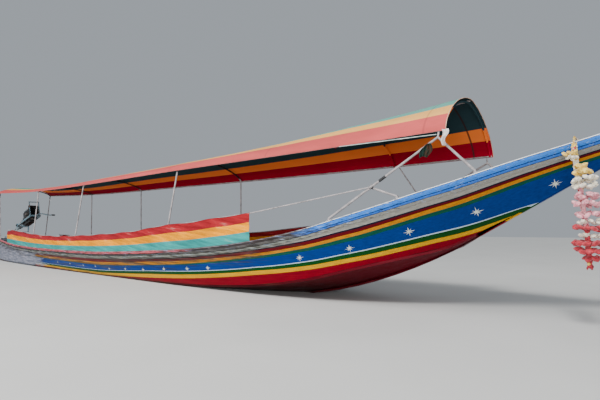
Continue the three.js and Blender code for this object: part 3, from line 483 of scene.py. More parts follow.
fit(stars_port, "hull", star_enamel)


# Gunwales: on each side a thick rubbing strake over a thinner one, capped by a flat rail that hides
# the plank ends. Hardwood, screwed through the planks, painted, and scuffed from coming alongside.

# Profile from the lower inner corner round the outside: drop below the sheer, and distance out from
# the planking's face, in metres.
GUNWALE_PROFILE = [
    (0.100, 0.0004), (0.100, 0.0110), (0.097, 0.0140), (0.070, 0.0145), (0.066, 0.0125),
    (0.063, 0.0125), (0.060, 0.0190), (0.054, 0.0236), (0.030, 0.0240), (0.000, 0.0240),
    (-0.014, 0.0236), (-0.022, 0.0205), (-0.026, 0.0140), (-0.026, -0.0150), (-0.026, -0.0400),
    (-0.022, -0.0455), (-0.004, -0.0460), (-0.0004, -0.0440), (-0.0004, -0.0100), (-0.0004, 0.0004),
]
GUNWALE_REACH = 0.046

# Strake enamel: crisp blue, black and white lines forward; further aft older pink and grey coats, rubbed
# and scuffed through, with black dirt in the marks and dull patches among the shine
gunwale_enamel, tree, base, coords = new_finish("scuffed_strake_enamel", Specular_IOR_Level=0.03)
strake_place = add_node(tree, "UVMap", {"uv_map": "bands"})
strake_axes = add_node(tree, "SeparateXYZ", links={"Vector": strake_place})
object_axes = add_node(tree, "SeparateXYZ", links={"Vector": coords})
profile_count = len(GUNWALE_PROFILE)
new_strake = add_node(
    tree, "ValToRGB",
    {"stops": [
        (0.0, "#86847D"), (4.3 / profile_count, "#15161C"), (5.6 / profile_count, "#2F6CCC"),
        (7.45 / profile_count, "#122A5C"), (7.75 / profile_count, "#3578D2"),
        (9.6 / profile_count, "#1A2644"), (10.2 / profile_count, "#E4E6E4"),
        (11.7 / profile_count, "#5F88B8"), (15.0 / profile_count, "#6B5A48"),
    ], "interpolation": "CONSTANT"},
    {"Fac": (strake_axes, "Y")},
)
old_strake = add_node(
    tree, "ValToRGB",
    {"stops": [
        (0.0, "#7C8078"), (4.3 / profile_count, "#1E1F20"), (5.6 / profile_count, "#4A4A48"),
        (7.6 / profile_count, "#231C1E"), (8.15 / profile_count, "#B4565E"),
        (10.6 / profile_count, "#C27078"), (11.9 / profile_count, "#33302F"),
        (15.0 / profile_count, "#6B5A48"),
    ], "interpolation": "CONSTANT"},
    {"Fac": (strake_axes, "Y")},
)
mid_strake = add_node(
    tree, "ValToRGB",
    {"stops": [
        (0.0, "#7C8078"), (4.3 / profile_count, "#1E1F20"), (5.6 / profile_count, "#5A5856"),
        (8.15 / profile_count, "#3A3436"), (9.6 / profile_count, "#6A6466"),
        (11.9 / profile_count, "#33302F"), (15.0 / profile_count, "#6B5A48"),
    ], "interpolation": "CONSTANT"},
    {"Fac": (strake_axes, "Y")},
)
mid_stretch = add_node(tree, "Mapping", {"Scale": (0.8, 14.0, 14.0)}, {"Vector": coords})
mid_noise = add_node(tree, "TexNoise", {"grain": (1.5, 4.0, 0.55)}, {"Vector": mid_stretch})
mid_reach = add_node(tree, "MapRange", {"range": (0.2, 3.0, -0.3, 0.5)}, {"Value": (object_axes, "X")})
mid_sum = add_node(tree, "Math", {"operation": "ADD"}, {0: mid_noise, 1: mid_reach})
mid_share = add_node(tree, "MapRange", {"range": (0.5, 0.7)}, {"Value": mid_sum})
aft_strake = add_node(tree, "Mix", {"data_type": "RGBA"}, {0: mid_share, 6: old_strake, 7: mid_strake})
strake_age = add_node(tree, "MapRange", {"range": (5.2, 3.6)}, {"Value": (object_axes, "X")})
age_stretch = add_node(tree, "Mapping", {"Scale": (0.6, 10.0, 10.0)}, {"Vector": coords})
age_noise = add_node(tree, "TexNoise", {"grain": (1.8, 5.0, 0.55)}, {"Vector": age_stretch})
age_sum = add_node(tree, "Math", {"operation": "MULTIPLY_ADD", 1: 0.7}, {0: age_noise, 2: strake_age})
age_share = add_node(tree, "MapRange", {"range": (0.55, 0.85)}, {"Value": age_sum})
strake_colour = add_node(
    tree, "Mix", {"data_type": "RGBA"}, {0: age_share, 6: new_strake, 7: (aft_strake, 2)}
)
scuff_stretch = add_node(tree, "Mapping", {"Scale": (1.3, 26.0, 26.0)}, {"Vector": coords})
scuff_noise = add_node(tree, "TexNoise", {"grain": (2.4, 8.0, 0.72)}, {"Vector": scuff_stretch})
scuffs = add_node(tree, "MapRange", {"range": (0.56, 0.66, 0.0, 0.85)}, {"Value": scuff_noise})
scuff_colour = add_node(
    tree, "ValToRGB", {"stops": [(0.35, "#B9C3D0"), (0.55, "#86A8DA"), (0.7, "#A39E96")]},
    {"Fac": age_noise},
)
scuffed = add_node(tree, "Mix", {"data_type": "RGBA"}, {0: scuffs, 6: (strake_colour, 2), 7: scuff_colour})
dirt_stretch = add_node(tree, "Mapping", {"Scale": (1.0, 18.0, 18.0)}, {"Vector": coords})
dirt_noise = add_node(tree, "TexNoise", {"grain": (3.4, 6.0, 0.7)}, {"Vector": dirt_stretch})
dirt_reach = add_node(tree, "MapRange", {"range": (6.6, 4.4, 0.0, 0.11)}, {"Value": (object_axes, "X")})
dirt_sum = add_node(tree, "Math", {"operation": "ADD"}, {0: dirt_noise, 1: dirt_reach})
dirt = add_node(tree, "MapRange", {"range": (0.57, 0.68, 0.0, 0.8)}, {"Value": dirt_sum})
dirty = add_node(tree, "Mix", {"data_type": "RGBA", 7: "#2A2623"}, {0: dirt, 6: (scuffed, 2)})
strake_gloss = add_node(tree, "MapRange", {"range": (0.4, 0.62, 0.28, 0.6)}, {"Value": scuff_noise})
strake_bump = add_node(tree, "Bump", {"Strength": 0.35, "Distance": 0.003}, {"Height": scuff_noise})
link_inputs(tree, base, {"Base Color": (dirty, 2), "Roughness": strake_gloss, "Normal": strake_bump})


def gunwale_corner(i, j):
    x = STERN_X + (BOW_X - STERN_X) * i / HULL_STATIONS
    half, sheer, chine_half, chine, keel = hull_at(x)
    drop, out = GUNWALE_PROFILE[j % profile_count]
    if drop > 0:
        drop *= min(1.0, 6.0 * (sheer - chine))
        return on_planking(x, drop, out)
    if out < -0.02:
        out *= min(GUNWALE_REACH, half - 0.031) / GUNWALE_REACH
    return Vector((x, -(half + out), sheer - drop))


def close_ends(piece):
    """Fills each open end of a piece with a face."""
    pick(piece)
    bpy.ops.object.mode_set(mode="EDIT")
    bpy.ops.mesh.select_all(action="SELECT")
    bpy.ops.mesh.remove_doubles(threshold=0.00005)
    bpy.ops.mesh.select_all(action="DESELECT")
    bpy.ops.mesh.select_mode(type="EDGE")
    bpy.ops.mesh.select_non_manifold(extend=False, use_boundary=True)
    bpy.ops.mesh.fill_holes(sides=0)
    bpy.ops.mesh.select_all(action="SELECT")
    bpy.ops.mesh.normals_make_consistent(inside=False)
    bpy.ops.object.mode_set(mode="OBJECT")


gunwale = lay_sheet("gunwale_strakes_starboard", HULL_STATIONS, profile_count, gunwale_corner)
strake_map = gunwale.data.uv_layers[0]
strake_map.name = "bands"
for face in gunwale.data.polygons:
    for k in face.loop_indices:
        uv = strake_map.data[k].uv
        strake_map.data[k].uv = (uv.x, round(uv.y * profile_count) / profile_count)
close_ends(gunwale)
soften(gunwale, 50)
gunwale_port = other_side(gunwale, "gunwale_strakes_port")
fit(gunwale, "hull", gunwale_enamel, ["gunwale_starboard"])
fit(gunwale_port, "hull", gunwale_enamel, ["gunwale_port"])


# Bottom, keel, stem and transom: heavy hardwood under maroon bottom paint, with weed and a wet dark
# waterline. The stem rises past the gunwales into the raked bow head, painted like the sides.
BOTTOM_END_X = 6.6
BOTTOM_STATIONS = 110
BOTTOM_ACROSS = 8
BOTTOM_THICK = 0.030

# Maroon bottom paint: nearly black with brown weed aft, fresher under the bow, darkest where it is wet
bottom_paint, tree, base, coords = new_finish("bottom_paint", Specular_IOR_Level=0.06)
weed_stretch = add_node(tree, "Mapping", {"Scale": (1.0, 3.0, 5.0)}, {"Vector": coords})
weed_noise = add_node(tree, "TexNoise", {"grain": (2.6, 7.0, 0.7)}, {"Vector": weed_stretch})
weed_tone = add_node(
    tree, "ValToRGB", {"stops": [(0.3, "#200306"), (0.5, "#34060C"), (0.72, "#2E2016")]},
    {"Fac": weed_noise},
)
object_axes = add_node(tree, "SeparateXYZ", links={"Vector": coords})
forward_share = add_node(tree, "MapRange", {"range": (3.6, 5.8)}, {"Value": (object_axes, "X")})
fresh_tone = add_node(tree, "Mix", {"data_type": "RGBA", 7: "#560414"}, {0: forward_share, 6: weed_tone})
under_water = add_node(tree, "MapRange", {"range": (0.05, -0.02, 0.0, 0.8)}, {"Value": (object_axes, "Z")})
weedy = add_node(tree, "Mix", {"data_type": "RGBA", 7: "#161A12"}, {0: under_water, 6: (fresh_tone, 2)})
weed_gloss = add_node(tree, "MapRange", {"range": (0.3, 0.7, 0.3, 0.55)}, {"Value": weed_noise})
weed_bump = add_node(tree, "Bump", {"Strength": 0.3, "Distance": 0.004}, {"Height": weed_noise})
link_inputs(tree, base, {"Base Color": (weedy, 2), "Roughness": weed_gloss, "Normal": weed_bump})


def bottom_corner(i, j):
    x = STERN_X + (BOTTOM_END_X - STERN_X) * i / BOTTOM_STATIONS
    half, sheer, chine_half, chine, keel = hull_at(x)
    share = j / BOTTOM_ACROSS * 2 - 1
    low_chine = chine - BOTTOM_THICK - 0.0003
    return Vector((x, chine_half * share, keel + (low_chine - keel) * abs(share)))


def give_depth(sheet, depth):
    """Extrudes a flat sheet of planks upwards and closes its sides."""
    pick(sheet)
    bpy.ops.object.mode_set(mode="EDIT")
    bpy.ops.mesh.select_all(action="SELECT")
    bpy.ops.mesh.extrude_region_move(TRANSFORM_OT_translate={"value": (0, 0, depth)})
    bpy.ops.mesh.select_all(action="SELECT")
    bpy.ops.mesh.normals_make_consistent(inside=False)
    bpy.ops.object.mode_set(mode="OBJECT")


bottom = lay_sheet("bottom_planks", BOTTOM_STATIONS, BOTTOM_ACROSS, bottom_corner)
if bottom.data.polygons[0].normal.z > 0:
    bottom.data.flip_normals()
give_depth(bottom, BOTTOM_THICK)
soften(bottom, 30)
fit(bottom, "hull", bottom_paint, ["bottom_planking"])


def worked_copy(node, name, ease, degrees=30, segments=2):
    """A copy of a CAD node with its corners merged and its edges eased by a width in metres."""
    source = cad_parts[node]
    piece = bpy.data.objects.new(name, source.data.copy())
    bpy.context.scene.collection.objects.link(piece)
    pick(piece)
    bpy.ops.object.mode_set(mode="EDIT")
    bpy.ops.mesh.select_all(action="SELECT")
    bpy.ops.mesh.remove_doubles(threshold=0.00004)
    bpy.ops.mesh.dissolve_limited(angle_limit=math.radians(0.4))
    bpy.ops.object.mode_set(mode="OBJECT")
    if ease:
        shape_with(
            piece, "BEVEL", width=ease, segments=segments, limit_method="ANGLE",
            angle_limit=math.radians(degrees), use_clamp_overlap=True,
        )
    soften(piece, 40)
    return piece


fit(worked_copy("keel", "keel_timber", 0.006), "hull", bottom_paint, ["keel"])

# The bands run on round the stem in newer enamel, glossier than the sides and streaked by rain
stem_enamel, tree, base, coords = new_finish("stem_enamel", Specular_IOR_Level=0.06)
object_axes = add_node(tree, "SeparateXYZ", links={"Vector": coords})
stem_rise = add_node(tree, "MapRange", {"range": (0.2, 2.6)}, {"Value": (object_axes, "Z")})
stem_colour = add_node(
    tree, "ValToRGB",
    {"stops": [
        (0.0, "#480210"), (0.27, "#700014"), (0.36, "#C08C04"), (0.4, "#083C12"), (0.445, "#002F72"),
    ], "interpolation": "CONSTANT"},
    {"Fac": stem_rise},
)
stem_streaks_stretch = add_node(tree, "Mapping", {"Scale": (4.0, 30.0, 4.0)}, {"Vector": coords})
stem_streaks = add_node(tree, "TexNoise", {"grain": (2.0, 6.0, 0.55)}, {"Vector": stem_streaks_stretch})
stem_tone = add_node(tree, "MapRange", {"range": (0.3, 0.75, 0.82, 1.15)}, {"Value": stem_streaks})
stem_toned = add_node(tree, "HueSaturation", links={"Color": stem_colour, "Value": stem_tone})
stem_gloss = add_node(tree, "MapRange", {"range": (0.3, 0.7, 0.22, 0.4)}, {"Value": stem_streaks})
link_inputs(tree, base, {"Base Color": stem_toned, "Roughness": stem_gloss})
fit(worked_copy("stem_post", "stem_timber", 0.007), "hull", stem_enamel, ["stem_post"])

# The stern board's paint is almost gone, and the grain stands out grey across it
board_finish, tree, base, coords = new_finish("weathered_stern_board", Specular_IOR_Level=0.1)
board_stretch = add_node(tree, "Mapping", {"Scale": (6.0, 0.9, 16.0)}, {"Vector": coords})
board_noise = add_node(tree, "TexNoise", {"grain": (1.5, 8.0, 0.65)}, {"Vector": board_stretch})
board_tone = add_node(
    tree, "ValToRGB",
    {"stops": [(0.3, "#26272B"), (0.46, "#4E5058"), (0.58, "#787B86"), (0.72, "#5C5A5C")]},
    {"Fac": board_noise},
)
board_axes = add_node(tree, "SeparateXYZ", links={"Vector": coords})
board_wet = add_node(tree, "MapRange", {"range": (0.16, 0.03, 0.0, 0.85)}, {"Value": (board_axes, "Z")})
wet_board = add_node(tree, "Mix", {"data_type": "RGBA", 7: "#1A1D1A"}, {0: board_wet, 6: board_tone})
board_gloss = add_node(tree, "MapRange", {"range": (0.3, 0.7, 0.5, 0.75)}, {"Value": board_noise})
board_bump = add_node(tree, "Bump", {"Strength": 0.4, "Distance": 0.003}, {"Height": board_noise})
link_inputs(tree, base, {"Base Color": (wet_board, 2), "Roughness": board_gloss, "Normal": board_bump})
fit(worked_copy("transom", "transom_board", 0.005), "hull", board_finish, ["transom"])


# Ribs and keelson: sawn hardwood frames nailed through the planks, with one long timber over them,
# all under old brown varnish that has gone dull and dirty in the corners.
FLOOR_RISE = 0.016
RIB_DEPTH = 0.040
RIB_GROUPS = 6


def varnished_timber(name, grain):
    """Old varnished hardwood whose grain runs along the axis with the smallest of three scales: brown
    with raised darker grain, and stains that have gone dull."""
    finish, tree, base, coords = new_finish(name, Specular_IOR_Level=0.2)
    grain_stretch = add_node(tree, "Mapping", {"Scale": grain}, {"Vector": coords})
    grain_noise = add_node(tree, "TexNoise", {"grain": (1.6, 8.0, 0.62)}, {"Vector": grain_stretch})
    grain_colour = add_node(
        tree, "ValToRGB",
        {"stops": [(0.28, "#3B2012"), (0.45, "#6A3D20"), (0.58, "#7D4E2A"), (0.75, "#9A6A3E")]},
        {"Fac": grain_noise},
    )
    stain_noise = add_node(tree, "TexNoise", {"grain": (3.0, 6.0, 0.7)}, {"Vector": coords})
    stains = add_node(tree, "MapRange", {"range": (0.52, 0.68, 0.0, 0.55)}, {"Value": stain_noise})
    stained = add_node(tree, "Mix", {"data_type": "RGBA", 7: "#2B1A10"}, {0: stains, 6: grain_colour})
    varnish_gloss = add_node(tree, "MapRange", {"range": (0.35, 0.65, 0.35, 0.6)}, {"Value": stain_noise})
    grain_bump = add_node(tree, "Bump", {"Strength": 0.25, "Distance": 0.002}, {"Height": grain_noise})
    link_inputs(tree, base, {"Base Color": (stained, 2), "Roughness": varnish_gloss, "Normal": grain_bump})
    return finish


long_timber = varnished_timber("varnished_hardwood", (1.2, 18.0, 18.0))
cross_timber = varnished_timber("varnished_cross_boards", (10.0, 0.9, 14.0))
for number in range(1, RIB_GROUPS + 1):
    ribs = worked_copy(f"rib_frames_{number}", f"rib_timbers_{number}", 0.003)
    fit(ribs, "hull", cross_timber, [f"rib_frames_{number}"])


# Floor boards: loose planks laid lengthwise on the ribs, with narrow gaps for the bilge water and
# staggered butt joints, so that they lift out for bailing.
FLOOR_THICK = 0.022
FLOOR_FROM_X = -5.4
FLOOR_TO_X = 4.56
FLOOR_GAP = 0.006
FLOOR_STRIPS = 6


def inner_half(x, z):
    """Half the width between the planks' inner faces at a height."""
    half, sheer, chine_half, chine, keel = hull_at(x)
    return half + (chine_half - half) * (sheer - z) / (sheer - chine) - PLANK_THICK


def floor_top(x):
    return hull_at(x)[3] + FLOOR_RISE + 0.0003 + FLOOR_THICK


def floor_half(x):
    return inner_half(x, floor_top(x) - FLOOR_THICK) - RIB_DEPTH - 0.014


def lay_boards(name, strips, joints, top_at, half_at, thick, gap):
    """Lengthwise boards side by side: top and half width follow x, each strip has its own joints."""
    boards = []
    for strip in range(strips):
        for start, end in zip(joints[strip % len(joints)], joints[strip % len(joints)][1:]):
            steps = max(4, round((end - start) / 0.25))

            def board_corner(i, j, start=start, end=end, strip=strip, steps=steps):
                x = start + gap / 2 + (end - start - gap) * i / steps
                full = 2 * half_at(x)
                low_y = -full / 2 + full * strip / strips + gap / 2
                return Vector((x, low_y + (full / strips - gap) * j, top_at(x) - thick))

            board = lay_sheet(name, steps, 1, board_corner)
            give_depth(board, thick)
            boards.append(board)
    floor_piece = joined(boards, name)
    shape_with(
        floor_piece, "BEVEL", width=0.002, segments=2, limit_method="ANGLE", angle_limit=math.radians(50)
    )
    soften(floor_piece, 40)
    return floor_piece


floor_joints = [
    (FLOOR_FROM_X, -2.1, 1.2, FLOOR_TO_X),
    (FLOOR_FROM_X, -3.4, -0.2, 2.9, FLOOR_TO_X),
]
boards = lay_boards(
    "floor_planks", FLOOR_STRIPS, floor_joints, floor_top, floor_half, FLOOR_THICK, FLOOR_GAP
)
fit(boards, "hull", long_timber, ["floor_boards"])


# Decks: close-laid planks let in between the sides: a short raised deck inside the bow, and a working
# deck at the stern that carries the engine post.
DECK_THICK = 0.020
FOREDECK_X = (6.28, 7.35, 8.42)
AFT_DECK_X = (-8.44, -7.3, -6.45)


def foredeck_top(x):
    return hull_at(x)[1] - 0.040


def aft_deck_top(x):
    return hull_at(x)[1] - 0.250


foredeck = lay_boards(
    "foredeck_planks", 7, [FOREDECK_X, (FOREDECK_X[0], FOREDECK_X[2])], foredeck_top,
    lambda x: inner_half(x, foredeck_top(x) - DECK_THICK) - 0.001, DECK_THICK, 0.003,
)
fit(foredeck, "hull", long_timber, ["foredeck"])
aft_deck = lay_boards(
    "aft_deck_planks", 9, [AFT_DECK_X, (AFT_DECK_X[0], AFT_DECK_X[2])], aft_deck_top,
    lambda x: inner_half(x, aft_deck_top(x) - DECK_THICK) - RIB_DEPTH - 0.002, DECK_THICK, 0.003,
)
fit(aft_deck, "hull", long_timber, ["aft_deck"])


# Benches: six plank thwarts on three sawn legs, each with a slanted backrest board, and a flat foam
# cushion under red vinyl that is sewn through into panels.
BENCH_COUNT = 6
CUSHION_START_INSET = Vector((0.02, 0.02, 0.018))
CUSHION_VOXEL = 0.009
CUSHION_SWELL = 0.012
CUSHION_CHANNELS = 4
CHANNEL_DEPTH = 0.009
CHANNEL_WIDTH = 0.02
FILLING_STEPS = 20

for number in range(1, BENCH_COUNT + 1):
    bench = worked_copy(f"bench_{number}", f"bench_timber_{number}", 0.004)
    fit(bench, "hull", cross_timber, [f"bench_{number}"])

# Padded vinyl: faded red in soft patches, with a broad low shine broken by its leather grain
cushion_vinyl, tree, base, coords = new_finish("padded_vinyl", IOR=1.5, Sheen_Weight=0.15)
vinyl_noise = add_node(tree, "TexNoise", {"grain": (5.0, 6.0, 0.55)}, {"Vector": coords})
vinyl_tone = add_node(
    tree, "ValToRGB", {"stops": [(0.3, "#7C1420"), (0.55, "#94202C"), (0.75, "#A8404A")]},
    {"Fac": vinyl_noise},
)
vinyl_gloss = add_node(tree, "MapRange", {"range": (0.3, 0.7, 0.35, 0.5)}, {"Value": vinyl_noise})
# The leather grain of the real vinyl is under a millimetre; it is drawn at 4 mm so that it shows
leather_grain = add_node(tree, "TexNoise", {"grain": (250.0, 2.0, 0.55)}, {"Vector": coords})
grain_relief = add_node(tree, "Bump", {"Strength": 0.2, "Distance": 0.001}, {"Height": leather_grain})
link_inputs(tree, base, {"Base Color": vinyl_tone, "Roughness": vinyl_gloss, "Normal": grain_relief})

low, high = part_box("seat_cushion_3")
middle = (low + high) / 2
cushion = new_shape("cushion_pattern", "cube", size=1)
cushion.data.transform(
    Matrix.Translation(middle) @ Matrix.Diagonal((*(high - low - CUSHION_START_INSET), 1))
)
shape_with(cushion, "BEVEL", width=0.012, segments=3)
shape_with(cushion, "REMESH", mode="VOXEL", voxel_size=CUSHION_VOXEL)
start_shape = [corner.co.copy() for corner in cushion.data.vertices]
pick(cushion)
cloth = cushion.modifiers.new("filling", "CLOTH")
cloth.settings.use_pressure = True
cloth.settings.uniform_pressure_force = 4
cloth.settings.effector_weights.gravity = 0
cloth.point_cache.frame_end = FILLING_STEPS
for step in range(1, FILLING_STEPS + 1):
    bpy.context.scene.frame_set(step)
bpy.ops.object.modifier_apply(modifier="filling")
for corner, start in zip(cushion.data.vertices, start_shape):
    swell = corner.co - start
    if swell.length > CUSHION_SWELL:
        corner.co = start + swell * (CUSHION_SWELL / swell.length)
bpy.context.scene.frame_set(1)
seat_low = low.z + 0.0005
for corner in cushion.data.vertices:
    across = (corner.co.y - low.y) / (high.y - low.y) * CUSHION_CHANNELS
    if corner.co.z > middle.z and 0.5 < across < CUSHION_CHANNELS - 0.5:
        seam = math.exp(-((across - round(across)) / CHANNEL_WIDTH) ** 2)
        corner.co.z -= CHANNEL_DEPTH * seam
    corner.co.z = max(corner.co.z, seat_low)
soften(cushion, 60)
cushion_size = high - low
for number in range(1, BENCH_COUNT + 1):
    low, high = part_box(f"seat_cushion_{number}")
    pad = own_copy(cushion, f"cushion_{number}")
    widened = Matrix.Scale((high.y - low.y) / cushion_size.y, 4, (0, 1, 0))
    pad.data.transform(Matrix.Translation((low + high) / 2) @ widened @ Matrix.Translation(-middle))
    fit(pad, "hull", cushion_vinyl, [f"seat_cushion_{number}"])
bpy.data.objects.remove(cushion)


# Canopy cover: one long sheet of striped canvas-backed vinyl, sewn from lengthwise cloths and bound
# at the front, stretched over the hoops and rails. The sun has bleached the outside.

# Canopy lines, in metres: x, half width and height of the edge, height of the ridge, and how far the
# arch drops to port for each metre across, because the whole canopy leans that way forward
CANOPY_LINES = [
    (-7.8, 0.790, 2.105, 2.330, 0.000), (-6.6, 0.785, 2.060, 2.240, 0.000),
    (-5.2, 0.785, 2.013, 2.190, 0.000), (-3.1, 0.790, 1.986, 2.200, 0.011),
    (-0.7, 0.800, 1.990, 2.256, 0.028), (1.5, 0.825, 1.993, 2.292, 0.046),
    (3.6, 0.850, 1.992, 2.378, 0.047), (5.0, 0.852, 1.997, 2.458, 0.048),
    (6.55, 0.850, 2.011, 2.587, 0.052),
]
ARCH_POWER = 1.22
CANOPY_FROM_X = CANOPY_LINES[0][0]
CANOPY_TO_X = CANOPY_LINES[-1][0]
CANOPY_STATIONS = 160
CANOPY_ACROSS = 48
COVER_THICK = 0.002
COVER_INSET = 0.002
COVER_SAG = 0.010
HOOP_X = [6.515, 5.06, 1.58, -2.12, -4.75, -7.72]
# Width of each cloth from the edge up, in metres, with its bleached and its shaded colour
CLOTHS = [
    (0.245, "#B8504E", "#9C0828"), (0.215, "#D29C58", "#FF8438"), (0.900, "#5E9488", "#2A4248"),
]
CLOTH_REACH = 1.3
SEAM_SPACING = 2.46
SEAM_WIDTH = 0.016
SEAM_FROM_X = 6.29


def arch_point(x, angle, side_inset=0.0, top_inset=0.0):
    """The point on the canopy's arch at x, from 0 at the port edge to pi at the starboard edge."""
    half, edge, ridge, lean = smooth_lines(CANOPY_LINES, x)
    across = math.copysign(abs(math.cos(angle)) ** ARCH_POWER, math.cos(angle))
    y = (half - side_inset) * across
    rise = (ridge - edge - top_inset) * abs(math.sin(angle)) ** ARCH_POWER
    return Vector((x, y, edge + rise - lean * y))


def arch_length(x, angle):
    """The distance along the arch from its nearer edge."""
    nearer = min(angle, math.pi - angle)
    steps = 12
    points = [arch_point(x, nearer * k / steps) for k in range(steps + 1)]
    return sum((b - a).length for a, b in zip(points, points[1:]))


def cover_corner(i, j):
    x = CANOPY_FROM_X + (CANOPY_TO_X - CANOPY_FROM_X) * i / CANOPY_STATIONS
    angle = math.pi * j / CANOPY_ACROSS
    spans = sorted(HOOP_X)
    sag = 0.0
    for start, end in zip(spans, spans[1:]):
        if start < x < end:
            sag = math.sin(math.pi * (x - start) / (end - start))
    flop = math.sin(2 * angle) ** 2
    ripple = 0.004 * noise.noise(Vector((x * 1.7, angle * 2.5, 3.0))) * flop
    inset = COVER_INSET + COVER_SAG * sag * flop + ripple
    return arch_point(x, angle, inset, inset)


cover = lay_sheet("canopy_cloth", CANOPY_STATIONS, CANOPY_ACROSS, cover_corner)
cloth_map = cover.data.uv_layers[0]
cloth_map.name = "cloths"
station_lengths = {}
for loop in cover.data.loops:
    spot = cloth_map.data[loop.index]
    j = round(spot.uv.y * CANOPY_ACROSS)
    i = round(spot.uv.x * CANOPY_STATIONS)
    if (i, j) not in station_lengths:
        x = CANOPY_FROM_X + (CANOPY_TO_X - CANOPY_FROM_X) * i / CANOPY_STATIONS
        station_lengths[(i, j)] = arch_length(x, math.pi * j / CANOPY_ACROSS)
    spot.uv = (i / 10, station_lengths[(i, j)] / CLOTH_REACH)
if cover.data.polygons[0].normal.dot(Vector((0, 1, 0))) < 0:
    cover.data.flip_normals()


def canopy_vinyl(name, shade, fading, seam_strength, seam_spacing):
    """The striped canopy vinyl, bleached outside (shade 1) or dark inside (shade 2): blotches make its
    tone vary by fading to each side, and darker cross seams stand seam_spacing apart from SEAM_FROM_X."""
    finish, tree, base, coords = new_finish(name, Specular_IOR_Level=0.03)
    cloth_place = add_node(tree, "UVMap", {"uv_map": "cloths"})
    cloth_axes = add_node(tree, "SeparateXYZ", links={"Vector": cloth_place})
    stops = []
    reached = 0.0
    for cloth in CLOTHS:
        stops.append((reached / CLOTH_REACH, cloth[shade]))
        reached += cloth[0]
    stripes = add_node(
        tree, "ValToRGB", {"stops": stops, "interpolation": "CONSTANT"}, {"Fac": (cloth_axes, "Y")}
    )
    blotches_stretch = add_node(tree, "Mapping", {"Scale": (0.7, 2.5, 2.5)}, {"Vector": coords})
    blotches = add_node(tree, "TexNoise", {"grain": (1.4, 6.0, 0.65)}, {"Vector": blotches_stretch})
    tone = add_node(
        tree, "MapRange", {"range": (0.3, 0.7, 1.0 - fading, 1.0 + fading)}, {"Value": blotches}
    )
    toned = add_node(tree, "HueSaturation", links={"Color": stripes, "Value": tone})
    seam_shift = add_node(tree, "Mapping", {"Location": (-SEAM_FROM_X, 0.0, 0.0)}, {"Vector": coords})
    seam_axes = add_node(tree, "SeparateXYZ", links={"Vector": seam_shift})
    seam_step = add_node(
        tree, "Math", {"operation": "PINGPONG", 1: seam_spacing / 2}, {0: (seam_axes, "X")}
    )
    seam_line = add_node(
        tree, "MapRange", {"range": (SEAM_WIDTH, SEAM_WIDTH / 2, 0.0, seam_strength)}, {"Value": seam_step}
    )
    seamed = add_node(tree, "Mix", {"data_type": "RGBA", 7: "#3A2A2A"}, {0: seam_line, 6: toned})
    gloss = add_node(tree, "MapRange", {"range": (0.3, 0.7, 0.65, 0.85)}, {"Value": blotches})
    creases_stretch = add_node(tree, "Mapping", {"Scale": (1.2, 5.0, 5.0)}, {"Vector": coords})
    creases = add_node(tree, "TexNoise", {"grain": (2.2, 4.0, 0.55)}, {"Vector": creases_stretch})
    weave = add_node(tree, "Bump", {"Strength": 0.35, "Distance": 0.012}, {"Height": creases})
    link_inputs(tree, base, {"Base Color": (seamed, 2), "Roughness": gloss, "Normal": weave})
    return finish


# Inside only the foremost seam shows, so its spacing is more than the canopy's length
INSIDE_SEAM_SPACING = 2 * (CANOPY_TO_X - CANOPY_FROM_X)
canopy_inside = canopy_vinyl("shaded_canopy_vinyl", 2, 0.10, 0.85, INSIDE_SEAM_SPACING)
cover.data.materials.append(canopy_vinyl("bleached_canopy_vinyl", 1, 0.14, 0.22, SEAM_SPACING))
cover.data.materials.append(canopy_inside)
shape_with(cover, "SOLIDIFY", thickness=COVER_THICK, offset=-1.0, material_offset=1)
soften(cover, 60)
fit(cover, "hull", None, ["canopy_cover"])


# Hoops, posts and rails: steel water pipe, bent cold round a former, painted pale grey and chalked
# by the sun. Each post stands in a foot plate with two coach screws through the gunwale cap.
PIPE_SIDES = 6
RAIL_FROM_X = -7.785
RAIL_TO_X = 6.535
RAIL_STEPS = 120
HOOP_STEPS = 32
RAIL_RADIUS = 0.011
HOOP_RADIUS = 0.014
RAIL_INSET = 0.0173
EDGE_HEM = 0.002
HOOP_TOP_INSET = RAIL_INSET + RAIL_RADIUS + HOOP_RADIUS - 0.0005
POST_FEET_X = [None, None, 1.44, -2.27, -4.85, -7.78]
POST_INSET = 0.020
CAP_RISE = 0.026
# Clear gap left between pieces that touch
FIT_GAP = 0.0006
FOOT_SIZE = (0.090, 0.040, 0.006)
SCREW_AT = 0.032
# Height above which the hoops' arches carry painted shade
ARCH_SHADE_FROM_Z = 2.01
BINDING_RADIUS = 0.004


def chalky_paint(name, shine):
    """A new material with the colour of pale grey paint that has chalked in patches, as its last item."""
    finish, tree, base, coords = new_finish(name, Specular_IOR_Level=shine)
    chalk_noise = add_node(tree, "TexNoise", {"grain": (9.0, 6.0, 0.7)}, {"Vector": coords})
    chalk_tone = add_node(
        tree, "ValToRGB", {"stops": [(0.3, "#767270"), (0.5, "#9C9696"), (0.7, "#BCB2B0")]},
        {"Fac": chalk_noise},
    )
    return finish, tree, base, coords, chalk_tone


